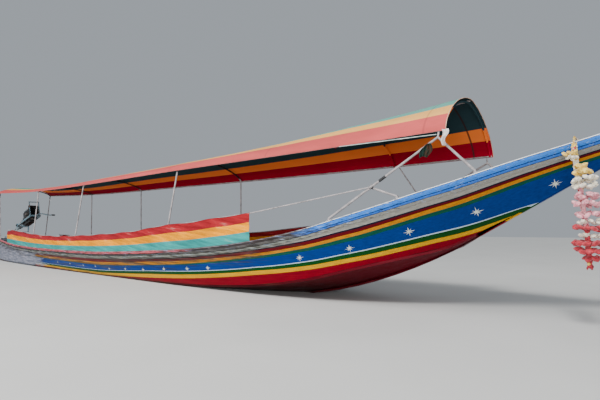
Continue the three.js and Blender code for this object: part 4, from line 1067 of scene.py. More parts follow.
# Painted pipe: matt pale grey, with small chips of brown rust that are rougher still
painted_pipe, tree, base, coords, chalk_tone = chalky_paint("chalky_painted_pipe", 0.15)
rust_stretch = add_node(tree, "Mapping", {"Scale": (6.0, 6.0, 2.0)}, {"Vector": coords})
rust_noise = add_node(tree, "TexNoise", {"grain": (6.0, 7.0, 0.75)}, {"Vector": rust_stretch})
rust_share = add_node(tree, "MapRange", {"range": (0.62, 0.7, 0.0, 0.8)}, {"Value": rust_noise})
rusted = add_node(tree, "Mix", {"data_type": "RGBA", 7: "#6B3E22"}, {0: rust_share, 6: chalk_tone})
pipe_gloss = add_node(tree, "MapRange", {"range": (0.4, 0.68, 0.35, 0.75)}, {"Value": rust_noise})
pipe_bump = add_node(tree, "Bump", {"Strength": 0.2, "Distance": 0.001}, {"Height": rust_noise})
link_inputs(tree, base, {"Base Color": (rusted, 2), "Roughness": pipe_gloss, "Normal": pipe_bump})

# Above the canopy's edge the arches are painted dull brown-black, as painted shade where they lie in
# the canopy's shadow, above the grey paint of the posts
arch_shaded_pipe, tree, base, coords, chalk_tone = chalky_paint("pipe_with_painted_arch_shade", 0.2)
object_axes = add_node(tree, "SeparateXYZ", links={"Vector": coords})
painted_shade_share = add_node(
    tree, "MapRange", {"range": (ARCH_SHADE_FROM_Z, ARCH_SHADE_FROM_Z + 0.01)}, {"Value": (object_axes, "Z")}
)
arch_shaded_colour = add_node(tree, "Mix", {"data_type": "RGBA", 7: "#2A201E"}, {0: painted_shade_share, 6: chalk_tone})
arch_top_gloss = add_node(
    tree, "MapRange", {"range": (ARCH_SHADE_FROM_Z, ARCH_SHADE_FROM_Z + 0.01, 0.5, 0.8)},
    {"Value": (object_axes, "Z")},
)
link_inputs(tree, base, {"Base Color": (arch_shaded_colour, 2), "Roughness": arch_top_gloss})


def bent_pipe(name, points, radius, sides=PIPE_SIDES, ends=True):
    """A round pipe through points, with flat ends, as a mesh."""
    line = bpy.data.curves.new(name, "CURVE")
    line.dimensions = "3D"
    line.bevel_depth = radius
    line.bevel_resolution = sides
    line.use_fill_caps = ends
    run = line.splines.new("POLY")
    run.points.add(len(points) - 1)
    for spot, point in zip(run.points, points):
        spot.co = (*point, 1.0)
    pipe = bpy.data.objects.new(name, line)
    bpy.context.scene.collection.objects.link(pipe)
    pick(pipe)
    bpy.ops.object.convert(target="MESH")
    pipe = bpy.context.object
    soften(pipe, 40)
    return pipe


def cap_top(x):
    return hull_at(x)[1] + CAP_RISE


def foot_y(x):
    return hull_at(x)[0] - POST_INSET


def foot_plate(x, y):
    """A small steel plate on the gunwale cap with two hexagon-headed screws."""
    pitch = math.atan2(cap_top(x + 0.06) - cap_top(x - 0.06), 0.12)
    lean = Matrix.Translation((x, y, cap_top(x) + FIT_GAP)) @ Matrix.Rotation(-pitch, 4, "Y")
    plate = new_shape("plate", "cube", size=1, location=(0, 0, FOOT_SIZE[2] / 2), scale=FOOT_SIZE)
    bpy.ops.object.transform_apply(location=True, rotation=True, scale=True)
    shape_with(plate, "BEVEL", width=0.0015, segments=2)
    pieces = [plate]
    for along in (-SCREW_AT, SCREW_AT):
        screw_at = (along, 0, FOOT_SIZE[2] + 0.003)
        screw = new_shape("screw", "cylinder", vertices=6, radius=0.008, depth=0.006, location=screw_at)
        bpy.ops.object.transform_apply(location=True, rotation=True, scale=True)
        shape_with(screw, "BEVEL", width=0.001, segments=2)
        pieces.append(screw)
    plate = joined(pieces, "foot_plate")
    plate.data.transform(lean)
    return plate


def weld_bead(point, radius):
    """A small lumpy ring of weld round a pipe's foot."""
    bead = new_shape(
        "bead", "torus", major_radius=radius, minor_radius=0.003, major_segments=20, minor_segments=6
    )
    for corner in bead.data.vertices:
        corner.co = corner.co * (1 + 0.04 * noise.noise(corner.co * 300)) + Vector(point)
    return bead


def edge_in(x):
    """How far the arch has come in from its edge at the height of the edge rail's top."""
    half, edge, ridge, lean = smooth_lines(CANOPY_LINES, x)
    angle = math.asin((2 * RAIL_RADIUS / (ridge - edge)) ** (1 / ARCH_POWER))
    return half - arch_point(x, angle).y


def edge_rail_at(x, sign):
    inset = RAIL_INSET + edge_in(x) + EDGE_HEM
    return arch_point(x, 0 if sign > 0 else math.pi, inset, inset) + Vector((0, 0, RAIL_RADIUS))


rim = [arch_point(CANOPY_TO_X - 0.001, math.pi * k / 40, 0.003, 0.003) for k in range(41)]
binding = bent_pipe("front_binding", rim, BINDING_RADIUS)
# Cotton tape round the rim, faded to a matt buff beside the darker vinyl
binding_cloth = mottled_finish(
    "faded_binding_tape", (12.0, 4.0, 0.55), [(0.35, "#B98A74"), (0.65, "#DCC0A6")],
    gloss=(0.3, 0.7, 0.6, 0.8), Specular_IOR_Level=0.05,
)
fit(binding, "hull", binding_cloth)

ridge = []
for k in range(RAIL_STEPS + 1):
    x = RAIL_FROM_X + (RAIL_TO_X - RAIL_FROM_X) * k / RAIL_STEPS
    ridge.append(arch_point(x, math.pi / 2, RAIL_INSET, RAIL_INSET))
ridge_pipe = bent_pipe("ridge_pipe", ridge, RAIL_RADIUS)
fit(ridge_pipe, "hull", painted_pipe, ["ridge_rail"])
for side, sign in (("starboard", -1), ("port", 1)):
    edge = []
    for k in range(RAIL_STEPS + 1):
        x = RAIL_FROM_X + (RAIL_TO_X - RAIL_FROM_X) * k / RAIL_STEPS
        edge.append(edge_rail_at(x, sign))
    edge_pipe = bent_pipe(f"edge_pipe_{side}", edge, RAIL_RADIUS)
    fit(edge_pipe, "hull", painted_pipe, [f"edge_rail_{side}"])

for number, (x, foot_x) in enumerate(zip(HOOP_X, POST_FEET_X), 1):
    side_inset = RAIL_INSET + edge_in(x) + EDGE_HEM + RAIL_RADIUS + HOOP_RADIUS
    arch = []
    for k in range(HOOP_STEPS + 1):
        arch.append(arch_point(x, math.pi * (1 - k / HOOP_STEPS), side_inset, HOOP_TOP_INSET))
    pieces = []
    if foot_x is not None:
        foot = cap_top(foot_x) + FIT_GAP + FOOT_SIZE[2] - 0.002
        y = foot_y(foot_x)
        arch = [Vector((foot_x, -y, foot)), *arch, Vector((foot_x, y, foot))]
        for sign in (-1, 1):
            pieces.append(foot_plate(foot_x, sign * y))
            pieces.append(weld_bead((foot_x, sign * y, foot + 0.004), HOOP_RADIUS + 0.001))
    pieces.append(bent_pipe(f"hoop_{number}_bend", arch, HOOP_RADIUS))
    hoop = joined(pieces, f"hoop_pipe_{number}")
    soften(hoop, 40)
    # Hoops on posts: grey pipe, with painted shade on the arch above the canopy's edge
    if foot_x is not None:
        fit(hoop, "hull", arch_shaded_pipe, [f"hoop_{number}"])
        continue
    half = smooth_lines(CANOPY_LINES, x)[0] - side_inset
    hoop_map = hoop.data.uv_layers.new(name="cloths")
    for loop in hoop.data.loops:
        y = hoop.data.vertices[loop.vertex_index].co.y
        across = min(1.0, abs(y) / half) ** (1 / ARCH_POWER)
        hoop_map.data[loop.index].uv = (0.0, arch_length(x, math.acos(across)) / CLOTH_REACH)
    fit(hoop, "hull", canopy_inside, [f"hoop_{number}"])


# Front strut frames: welded pipe legs that carry the canopy's front corners on each side, in sockets
# on foot plates. Black tape is wound round the starboard one, and a thin stay stands on the port side.
STRUT_RADIUS = 0.016
BRACE_RADIUS = 0.013
STRUT_LINK_RADIUS = 0.010
STRUT_TOP = (6.465, 0.858, 1.940)
STRUT_LONG_FOOT_X = 5.020
STRUT_BRACE_FOOT_X = 5.960
STRUT_FRONT_FOOT_X = 6.800
STRUT_BRACE_AT = 0.58
COLLAR_AT = 0.022
COLLAR_HALF = 0.009
STAY_TOP_X = 5.130
STAY_FOOT_X = 5.600
STAY_RADIUS = 0.010
STAY_INSET = 0.012
TAPE_THICK = 0.0012
TAPE_TURNS = 18

# Cloth tape: soft black, greyed by dust on its edges, with a slight shine
black_tape = mottled_finish(
    "black_cloth_tape", (60.0, 4.0, 0.55), [(0.35, "#17171A"), (0.7, "#3A393A")],
    gloss=(0.3, 0.7, 0.45, 0.7), IOR=1.45,
)


def taped(name, start, end, share_from, share_to, radius):
    """Turns of cloth tape round a straight pipe, each lapped over the one before."""
    turns = []
    for k in range(TAPE_TURNS + 1):
        share = share_from + (share_to - share_from) * k / TAPE_TURNS
        turns.append(start.lerp(end, share))
    sleeve = bent_pipe(name, turns, radius + TAPE_THICK)
    for corner in sleeve.data.vertices:
        away = corner.co - turns[0]
        along = (end - start).normalized()
        on_line = turns[0] + along * away.dot(along)
        lap = 1 + 0.05 * math.sin(away.dot(along) * 420)
        corner.co = on_line + (corner.co - on_line) * lap
    return sleeve


def strut_top_at(sign):
    """The upper joint of a side's struts, which leans with the canopy."""
    x, y, z = STRUT_TOP
    return Vector((x, y * sign, z - smooth_lines(CANOPY_LINES, x)[3] * y * sign))


for side, sign in (("starboard", -1), ("port", 1)):
    top = strut_top_at(sign)
    rail_low = edge_rail_at(STRUT_TOP[0], sign) - Vector((0, 0, RAIL_RADIUS + 0.001))
    feet = []
    pieces = [bent_pipe("rail_link", [top, rail_low], STRUT_LINK_RADIUS)]
    for foot_x in (STRUT_LONG_FOOT_X, STRUT_BRACE_FOOT_X, STRUT_FRONT_FOOT_X):
        y = foot_y(foot_x) * sign
        foot = Vector((foot_x, y, cap_top(foot_x) + 2 * STRUT_RADIUS))
        feet.append(foot)
        socket_low = Vector((foot_x, y, cap_top(foot_x) + 0.005))
        pieces.append(bent_pipe("socket", [socket_low, foot + Vector((0, 0, 0.002))], STRUT_RADIUS + 0.002))
        pieces.append(foot_plate(foot_x, y))
        pieces.append(weld_bead((foot_x, y, cap_top(foot_x) + 0.008), STRUT_RADIUS + 0.003))
    joint = top.lerp(feet[0], STRUT_BRACE_AT)
    pieces.append(bent_pipe("front_leg", [feet[0], top, feet[2]], STRUT_RADIUS))
    pieces.append(bent_pipe("brace_leg", [joint, feet[1]], BRACE_RADIUS))
    slope = (top - feet[0]).normalized()
    for shift in (-COLLAR_AT, COLLAR_AT):
        collar = [joint + slope * (shift - COLLAR_HALF), joint + slope * (shift + COLLAR_HALF)]
        pieces.append(bent_pipe("clamp_collar", collar, STRUT_RADIUS + 0.004))
        bolt_from = joint + slope * shift
        bolt_to = bolt_from + Vector((0, sign * 0.012, 0.030))
        pieces.append(bent_pipe("clamp_bolt", [bolt_from, bolt_to], 0.005))
    frame_piece = joined(pieces, f"front_strut_pipes_{side}")
    soften(frame_piece, 40)
    fit(frame_piece, "hull", painted_pipe, [f"front_strut_frame_{side}"])
    if side == "starboard":
        wraps = [
            taped("tape_low", feet[0], top, 0.50, 0.56, STRUT_RADIUS),
            taped("tape_brace", joint, feet[1], 0.04, 0.12, BRACE_RADIUS),
        ]
        tape = joined(wraps, "strut_tape")
        soften(tape, 50)
        fit(tape, "hull", black_tape)

stay_head = edge_rail_at(STAY_TOP_X, 1) - Vector((0, RAIL_RADIUS + STAY_RADIUS + FIT_GAP, 0))
stay_y = foot_y(STAY_FOOT_X) - STAY_INSET
stay_foot = Vector((STAY_FOOT_X, stay_y, cap_top(STAY_FOOT_X) + 2 * STAY_RADIUS))
stay = joined(
    [
        bent_pipe("stay_rod", [stay_head, stay_foot], STAY_RADIUS),
        bent_pipe("socket", [stay_foot - Vector((0, 0, 0.015)), stay_foot], STAY_RADIUS + 0.002),
        foot_plate(STAY_FOOT_X, stay_y),
        weld_bead((STAY_FOOT_X, stay_y, cap_top(STAY_FOOT_X) + 0.008), STAY_RADIUS + 0.003),
    ],
    "stay_pipe_port",
)
soften(stay, 40)
fit(stay, "hull", painted_pipe, ["canopy_stay_port"])


# Edge rod: a thin painted rod from the starboard struts' joint aft, just under the canopy's edge, which
# a front flap can be laced to. Its after end is screwed to the edge rail.
EDGE_ROD_RADIUS = 0.005
EDGE_ROD_END_X = 5.16
LUG_REACH = 0.022

rod_start = strut_top_at(-1) + Vector((-0.010, -STRUT_RADIUS, 0.030))
rail_at_end = edge_rail_at(EDGE_ROD_END_X, -1)
rod_end = rail_at_end - Vector((0, RAIL_RADIUS + LUG_REACH, RAIL_RADIUS + EDGE_ROD_RADIUS))
lug = [rod_end, rail_at_end - Vector((0, 0, RAIL_RADIUS))]
edge_rod = joined(
    [bent_pipe("rod", [rod_start, rod_end], EDGE_ROD_RADIUS), bent_pipe("rod_lug", lug, EDGE_ROD_RADIUS)],
    "edge_rod",
)
soften(edge_rod, 40)
# A thin coat of pale green paint, streaked along the rod
rod_paint = mottled_finish(
    "pale_rod_paint", (3.0, 4.0, 0.55), [(0.35, "#93A6A2"), (0.65, "#CDD6D0")], gloss=(0.3, 0.7, 0.4, 0.6),
    stretch=(4.0, 20.0, 20.0), Specular_IOR_Level=0.1,
)
fit(edge_rod, "hull", rod_paint)


# Corner cloths: a strip of white sheeting tied over the starboard corner, and a small green rag that
# hangs from the long strut beside it. Each is one thin piece of cloth, knotted by its upper end.
STRIP_SIZE = (0.110, 0.190)
STRIP_KNOT = (6.560, -0.862, 2.058)
RAG_SIZE = (0.125, 0.150)

# Old cotton sheeting: off-white with grey stains, quite matt
white_cloth = mottled_finish(
    "weathered_white_cloth", (14.0, 5.0, 0.55), [(0.3, "#A79E9C"), (0.6, "#D9D2D0"), (0.8, "#EFEAE6")],
    Roughness=0.8, Specular_IOR_Level=0.05,
)
# A wiping rag: dark green with brown oil marks, quite matt
green_cloth = mottled_finish(
    "faded_green_cloth", (12.0, 5.0, 0.55), [(0.3, "#0C1614"), (0.5, "#1C302A"), (0.62, "#3A2A20")],
    Roughness=0.85, Specular_IOR_Level=0.05,
)


def strip_corner(i, j):
    """The white strip: from the canopy's front corner down to the struts' joint, in a loose curl."""
    across = i / 10 - 0.5
    down = j / 40
    width = STRIP_SIZE[0] * (1 - 0.35 * down)
    x = STRIP_KNOT[0] + across * width * 0.62 - 0.020 * down ** 2 + 0.012 * math.sin(down * 7)
    out = 0.012 + 0.020 * math.sin(down * math.pi) + 0.010 * math.sin(across * 9 + down * 5)
    y = STRIP_KNOT[1] - out - abs(across) * width * 0.3
    return Vector((x, y, STRIP_KNOT[2] - down * STRIP_SIZE[1] * 0.93))


def rag_corner(i, j):
    """The green rag, knotted round the long strut under its joint, and bunched below it."""
    across = i / 14 - 0.5
    down = j / 20
    spread = 0.30 + 0.95 * math.sin(min(down * 1.25, 1.0) * math.pi * 0.62) - 0.45 * down ** 3
    fold = 0.020 * math.sin(across * 17 + down * 2)
    knot = strut_top_at(-1).lerp(Vector((STRUT_LONG_FOOT_X, -0.93, 1.10)), 0.06)
    x = knot.x + across * RAG_SIZE[0] * spread - 0.075 * down
    lowered = knot.z - 0.010 - down * RAG_SIZE[1] * 0.9 - 0.04 * abs(across) * down
    return Vector((x, knot.y - STRUT_RADIUS - 0.004 - abs(fold) * 0.8, lowered))


for name, along, across, corner_at, size, cloth_finish, carrier in (
    ("corner_strip", 10, 40, strip_corner, STRIP_SIZE, white_cloth, "edge_pipe_starboard"),
    ("strut_rag", 14, 20, rag_corner, RAG_SIZE, green_cloth, "front_strut_pipes_starboard"),
):
    cloth = lay_sheet(name, along, across, corner_at)
    shape_with(cloth, "SOLIDIFY", thickness=0.001, offset=0.0)
    soften(cloth, 70)
    fit(cloth, "hull", cloth_finish)


# Side curtains: three strips of striped vinyl sewn edge to edge, lashed along a thin rail at the top,
# with the hem on the gunwale cap. They keep spray out of the boat, and hang in slack folds.
CURTAIN_FROM_X = -6.9
CURTAIN_TO_X = 3.62
CURTAIN_TOP = [
    (-6.90, 0.985), (-6.20, 0.960), (-4.85, 0.870), (-3.40, 0.825), (-2.27, 0.840), (-0.95, 0.880),
    (0.42, 0.950), (1.44, 1.055), (2.10, 1.095), (2.83, 1.160), (3.62, 1.225),
]
LASHING_STEP = 0.9
# Where the starboard curtain is lashed a little higher round a post: x, width and rise
HUMP_X = 1.60
HUMP_WIDTH = 0.14
HUMP_RISE = 0.028
BOW_PLEATS_REACH = 2.6
STERN_CRUSH_REACH = 1.1
CURTAIN_RAIL_RADIUS = 0.008
CURTAIN_PORT_DROP = 0.150
CURTAIN_RAIL_ENDS = (CURTAIN_FROM_X, -2.27, CURTAIN_TO_X)
CURTAIN_RAIL_SPLIT = 0.004
CURTAIN_RAIL_STEPS = 60
RAIL_HEAD_PAST = 0.040
CURTAIN_STATIONS = 330
CURTAIN_ACROSS = 18
CURTAIN_THICK = 0.0015

# Thin vinyl in three stripes: it shines softly along its folds, and is darker and paler by turns along
# the folds, as painted fold shade and painted crease highlights
curtain_vinyl, tree, base, coords = new_finish("striped_curtain_vinyl", Specular_IOR_Level=0.02)
curtain_place = add_node(tree, "UVMap", {"uv_map": "stripes"})
curtain_axes = add_node(tree, "SeparateXYZ", links={"Vector": curtain_place})
curtain_stripes = add_node(
    tree, "ValToRGB",
    {"stops": [
        (0.0, "#32908C"), (0.325, "#E69000"), (0.655, "#96242A"), (0.985, "#641018"),
    ], "interpolation": "CONSTANT"},
    {"Fac": (curtain_axes, "Y")},
)
slope_turn = add_node(
    tree, "Mapping", {"vector_type": "TEXTURE", "Rotation": (0.0, 0.14, 0.0), "Scale": (1.0, 1.0, 0.11)},
    {"Vector": coords},
)
fold_noise = add_node(tree, "TexNoise", {"grain": (1.7, 5.0, 0.6)}, {"Vector": slope_turn})
# Painted shade and light of the folds: the stripes are darkened and lightened by the fold noise
painted_fold_shade_and_light = add_node(tree, "MapRange", {"range": (0.34, 0.6, 0.66, 1.12)}, {"Value": fold_noise})
fold_shaded_stripes = add_node(tree, "HueSaturation", links={"Color": curtain_stripes, "Value": painted_fold_shade_and_light})
# Painted highlights: pale streaks along the creases
painted_highlight_share = add_node(tree, "MapRange", {"range": (0.62, 0.78, 0.0, 0.4)}, {"Value": fold_noise})
fold_highlighted = add_node(tree, "Mix", {"data_type": "RGBA", 7: "#D9C9B4"}, {0: painted_highlight_share, 6: fold_shaded_stripes})
curtain_gloss = add_node(tree, "MapRange", {"range": (0.3, 0.7, 0.3, 0.45)}, {"Value": fold_noise})
crease_bump = add_node(tree, "Bump", {"Strength": 0.7, "Distance": 0.025}, {"Height": fold_noise})
link_inputs(tree, base, {"Base Color": (fold_highlighted, 2), "Roughness": curtain_gloss, "Normal": crease_bump})


def curtain_corner(i, j, drop, seed):
    """Slack folds run down and aft from the lashings; the hem lies on the gunwale cap."""
    x = CURTAIN_FROM_X + (CURTAIN_TO_X - CURTAIN_FROM_X) * i / CURTAIN_STATIONS
    up = j / CURTAIN_ACROSS
    half, sheer, chine_half, chine, keel = hull_at(x)
    low = sheer + CAP_RISE + 0.0012
    lashing = 0.5 - 0.5 * math.cos(2 * math.pi * x / LASHING_STEP)
    droop = 0.014 * lashing * up
    hump = HUMP_RISE * math.exp(-((x - HUMP_X) / HUMP_WIDTH) ** 2) * (1 if drop == 0 else 0)
    high = smooth_lines(CURTAIN_TOP, x)[0] - drop - droop * (1 - hump / HUMP_RISE)
    middle = math.sin(math.pi * up)
    folds = noise.noise(Vector((x * 1.6 + up * 0.9, up * 2.2, seed)))
    ripples = noise.noise(Vector((x * 6.0 + up * 3.5, up * 3.0, 7.0)))
    bow_pull = max(0.0, 1 - (CURTAIN_TO_X - x) / BOW_PLEATS_REACH)
    pleats = bow_pull * 0.9 * math.sin(22 * (up - 0.42 * (CURTAIN_TO_X - x)) + 2 * folds)
    stern_crush = max(0.0, 1 - (x - CURTAIN_FROM_X) / STERN_CRUSH_REACH)
    crush = stern_crush * noise.noise(Vector((x * 14.0, up * 6.0, 4.0)))
    depth = 0.5 + 0.6 * folds + 0.22 * ripples + 0.35 * pleats + 0.9 * crush
    out = 0.012 + 0.016 * middle * max(depth, 0.02) + 0.003 * up
    sag = 0.10 * stern_crush * up * (0.5 + 0.5 * math.sin(x * 9))
    return Vector((x, -(half + out), low + (high - low) * up - sag * (high - low)))


for side, sign, drop, seed in (("starboard", -1, 0.0, 1.0), ("port", 1, CURTAIN_PORT_DROP, 31.0)):
    curtain = lay_sheet(
        f"curtain_cloth_{side}", CURTAIN_STATIONS, CURTAIN_ACROSS,
        lambda i, j: curtain_corner(i, j, drop, seed),
    )
    if sign > 0:
        curtain.data.transform(Matrix.Scale(-1, 4, (0, 1, 0)))
    curtain.data.uv_layers[0].name = "stripes"
    if curtain.data.polygons[0].normal.y * sign < 0:
        curtain.data.flip_normals()
    shape_with(curtain, "SOLIDIFY", thickness=CURTAIN_THICK, offset=0.0)
    soften(curtain, 70)
    fit(curtain, "hull", curtain_vinyl, [f"side_curtain_{side}"])
    for number, (from_x, to_x) in enumerate(zip(CURTAIN_RAIL_ENDS, CURTAIN_RAIL_ENDS[1:]), 1):
        rail = []
        for k in range(CURTAIN_RAIL_STEPS + 1):
            x = from_x + (to_x - CURTAIN_RAIL_SPLIT - from_x) * k / CURTAIN_RAIL_STEPS
            y = hull_at(x)[0] + 0.010 - 0.0003 - CURTAIN_RAIL_RADIUS
            rail.append(Vector((x, y * sign, smooth_lines(CURTAIN_TOP, x)[0] - drop - CURTAIN_RAIL_RADIUS)))
        rail_pipe = bent_pipe(f"curtain_pipe_{side}_{number}", rail, CURTAIN_RAIL_RADIUS)
        fit(rail_pipe, "hull", painted_pipe, [f"curtain_rail_{side}_{number}"])
    strut_foot_z = cap_top(STRUT_LONG_FOOT_X) + 2 * STRUT_RADIUS
    strut_foot = Vector((STRUT_LONG_FOOT_X, foot_y(STRUT_LONG_FOOT_X) * sign, strut_foot_z))
    head = strut_top_at(sign).lerp(strut_foot, STRUT_BRACE_AT)
    head.y += sign * (STRUT_RADIUS + CURTAIN_RAIL_RADIUS + 0.0003)
    start = rail[-1] + Vector((CURTAIN_RAIL_SPLIT, 0, 0))
    past = start.lerp(head, 1 + RAIL_HEAD_PAST / (head.x - start.x))
    stay_pipe = bent_pipe(f"curtain_stay_pipe_{side}", [start, past], CURTAIN_RAIL_RADIUS)
    fit(stay_pipe, "hull", painted_pipe, [f"curtain_stay_{side}"])


# Engine post and yoke: a steel pedestal bolted to the aft deck, black with grease, and on its crown
# the forked yoke that swivels with the whole drive, welded and painted like the cradle.
PIVOT = (-7.900, 0.0, 1.120)
SHAFT_PITCH = math.atan(0.29)
TO_SHAFT = Matrix.Translation(PIVOT) @ Matrix.Rotation(-SHAFT_PITCH, 4, "Y")
YOKE_CHEEK_Y = 0.175

# Cast iron under oil: near black, wet-looking in places and rough brown where rust comes through
greasy_iron = mottled_finish(
    "greasy_cast_iron", (14.0, 8.0, 0.7),
    [(0.3, "#15171A"), (0.5, "#2B2E31"), (0.62, "#3F3A34"), (0.75, "#5A3A24")], gloss=(0.3, 0.7, 0.3, 0.7),
    relief=(0.3, 0.002), Metallic=0.35,
)

# Grey-blue machine paint, half shiny, chipped to grey primer and dull brown rust
frame_paint = mottled_finish(
    "chipped_frame_paint", (9.0, 8.0, 0.72),
    [(0.3, "#4E6E7C"), (0.52, "#6B8996"), (0.58, "#8A8D8C"), (0.64, "#6A4026")],
    gloss=(0.45, 0.65, 0.4, 0.75), relief=(0.25, 0.001), IOR=1.5,
)


def turned_bar(name, start, end, radius, sides=24, ease=0.0):
    """A round bar between two points, with eased ends."""
    start = Vector(start)
    end = Vector(end)
    bar = new_shape(name, "cylinder", vertices=sides, radius=radius, depth=(end - start).length)
    turn = (end - start).to_track_quat("Z", "Y").to_matrix().to_4x4()
    bar.data.transform(Matrix.Translation((start + end) / 2) @ turn)
    if ease:
        shape_with(bar, "BEVEL", width=ease, segments=2, limit_method="ANGLE", angle_limit=math.radians(50))
    soften(bar, 35)
    return bar


def cast_block(name, centre, size, ease, segments=3):
    """A rectangular casting with rounded edges."""
    block = new_shape(name, "cube", size=1)
    block.data.transform(Matrix.Translation(centre) @ Matrix.Diagonal((*size, 1)))
    shape_with(block, "BEVEL", width=ease, segments=segments)
    soften(block, 35)
    return block


pedestal = worked_copy("engine_pedestal", "pedestal_casting", 0.004)
fit(pedestal, "hull", greasy_iron, ["engine_pedestal"])
low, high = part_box("engine_pedestal")
studs = []
for x in (low.x + 0.035, high.x - 0.035):
    for y in (low.y + 0.045, high.y - 0.045):
        studs.append(turned_bar("stud", (x, y, low.z + 0.039), (x, y, low.z + 0.052), 0.014, 6, 0.002))
        studs.append(turned_bar("stud", (x, y, low.z + 0.052), (x, y, low.z + 0.064), 0.007, 12, 0.001))
studs = joined(studs, "pedestal_studs")
fit(studs, "hull", greasy_iron)

yoke = worked_copy("engine_yoke", "yoke_fork", 0.004)
fit(yoke, "yoke", frame_paint, ["engine_yoke"])
cheeks = []
for sign in (-1, 1):
    for name, low_out, high_out, radius, sides, ease in (
        ("trunnion_cap", 0.0, 0.012, 0.034, 24, 0.003), ("trunnion_nut", 0.010, 0.024, 0.019, 6, 0.002),
    ):
        inner = (PIVOT[0], (YOKE_CHEEK_Y + low_out) * sign, PIVOT[2])
        outer = (PIVOT[0], (YOKE_CHEEK_Y + high_out) * sign, PIVOT[2])
        cheeks.append(turned_bar(name, inner, outer, radius, sides, ease))
trunnion_caps = joined(cheeks, "trunnion_caps")
fit(trunnion_caps, "yoke", greasy_iron)


# Cradle: two box-section rails with cross bars and a tube guard in front of the engine, welded up in
# a boatyard from stock steel and painted grey-blue with a brush.
cradle = worked_copy("engine_cradle", "cradle_frame", 0.0025)
fit(cradle, "tail", frame_paint, ["engine_cradle"])


# Engine: an old car diesel hung between the rails. Cast block and head, pressed rocker cover and
# sump, flywheel bell at the shaft end, and three pulleys with a belt in front. All measures are along
# the shaft line: u forward, y to port, w up, from the trunnions.
ENGINE_AFT = 0.250
ENGINE_FRONT = 0.880
ENGINE_MID = (ENGINE_AFT + ENGINE_FRONT) / 2


def fit_on_shaft(parts, name, finish, nodes=(), degrees=None):
    """Joins parts laid out along the shaft's line, turns them to its pitch and fits them to the tail."""
    piece = joined(parts, name)
    if degrees:
        soften(piece, degrees)
    piece.data.transform(TO_SHAFT)
    fit(piece, "tail", finish, nodes)


engine_parts = [
    cast_block("block", (ENGINE_MID, 0, 0.045), (0.496, 0.210, 0.170), 0.012),
    cast_block("sump", (ENGINE_MID - 0.01, 0, -0.075), (0.44, 0.190, 0.095), 0.028, 4),
    cast_block("sump_flange", (ENGINE_MID, 0, -0.035), (0.498, 0.222, 0.012), 0.003),
    cast_block("head", (ENGINE_MID - 0.02, 0, 0.215), (0.438, 0.168, 0.178), 0.010),
    cast_block("head_joint", (ENGINE_MID - 0.02, 0, 0.133), (0.440, 0.170, 0.010), 0.002),
    turned_bar("flywheel_bell", (ENGINE_AFT, 0, 0), (ENGINE_AFT + 0.09, 0, 0), 0.107, 40, 0.010),
    turned_bar("bell_rim", (ENGINE_AFT + 0.070, 0, 0), (ENGINE_AFT + 0.085, 0, 0), 0.111, 40, 0.003),
    turned_bar("front_boss", (ENGINE_FRONT - 0.085, 0, 0), (ENGINE_FRONT - 0.055, 0, 0), 0.078, 32, 0.004),
]
for u in (ENGINE_MID - 0.18, ENGINE_MID + 0.18):
    engine_parts.append(cast_block("lug", (u, 0, 0.0343), (0.060, 0.310, 0.018), 0.004))
for k in range(5):
    u = ENGINE_MID - 0.20 + 0.10 * k
    for y in (-0.104, 0.104):
        engine_parts.append(cast_block("water_rib", (u, y, 0.050), (0.012, 0.014, 0.13), 0.003))
    for y in (-0.062, 0.062):
        engine_parts.append(turned_bar("head_bolt", (u, y, 0.300), (u, y, 0.314), 0.011, 6, 0.002))
for k in range(12):
    angle = 2 * math.pi * k / 12
    y = 0.098 * math.cos(angle)
    w = 0.098 * math.sin(angle)
    bolt = turned_bar("bell_bolt", (ENGINE_AFT - 0.001, y, w), (ENGINE_AFT + 0.010, y, w), 0.006, 6)
    engine_parts.append(bolt)
for k in range(4):
    u = ENGINE_MID - 0.17 + 0.1 * k
    engine_parts.append(turned_bar("injector", (u, -0.050, 0.290), (u, -0.066, 0.345), 0.011, 16, 0.003))
fit_on_shaft(engine_parts, "engine_castings", greasy_iron, ["engine_block"])

cover_bits = [
    cast_block("rocker_cover_tin", (ENGINE_MID - 0.02, 0, 0.328), (0.386, 0.108, 0.054), 0.016, 4),
    turned_bar("oil_cap", (ENGINE_MID + 0.10, 0, 0.350), (ENGINE_MID + 0.10, 0, 0.374), 0.022, 24, 0.004),
]
for u in (ENGINE_MID - 0.15, ENGINE_MID + 0.02, ENGINE_MID + 0.14):
    cover_bits.append(turned_bar("cover_nut", (u, 0, 0.352), (u, 0, 0.364), 0.009, 6, 0.002))
fit_on_shaft(cover_bits, "rocker_cover", frame_paint)

# Turned steel: bare metal kept bright by the belt, with brown stains
pulley_steel = mottled_finish(
    "worn_pulley_steel", (30.0, 6.0, 0.55), [(0.3, "#4A4643"), (0.55, "#84807B"), (0.75, "#5B3B26")],
    gloss=(0.3, 0.7, 0.3, 0.6), Metallic=0.9,
)
# Black rubber, quite dull, with grey dust on it
belt_rubber = mottled_finish(
    "dusty_rubber", (25.0, 5.0, 0.55), [(0.3, "#161617"), (0.7, "#37342F")], gloss=(0.3, 0.7, 0.55, 0.8),
    IOR=1.45,
)

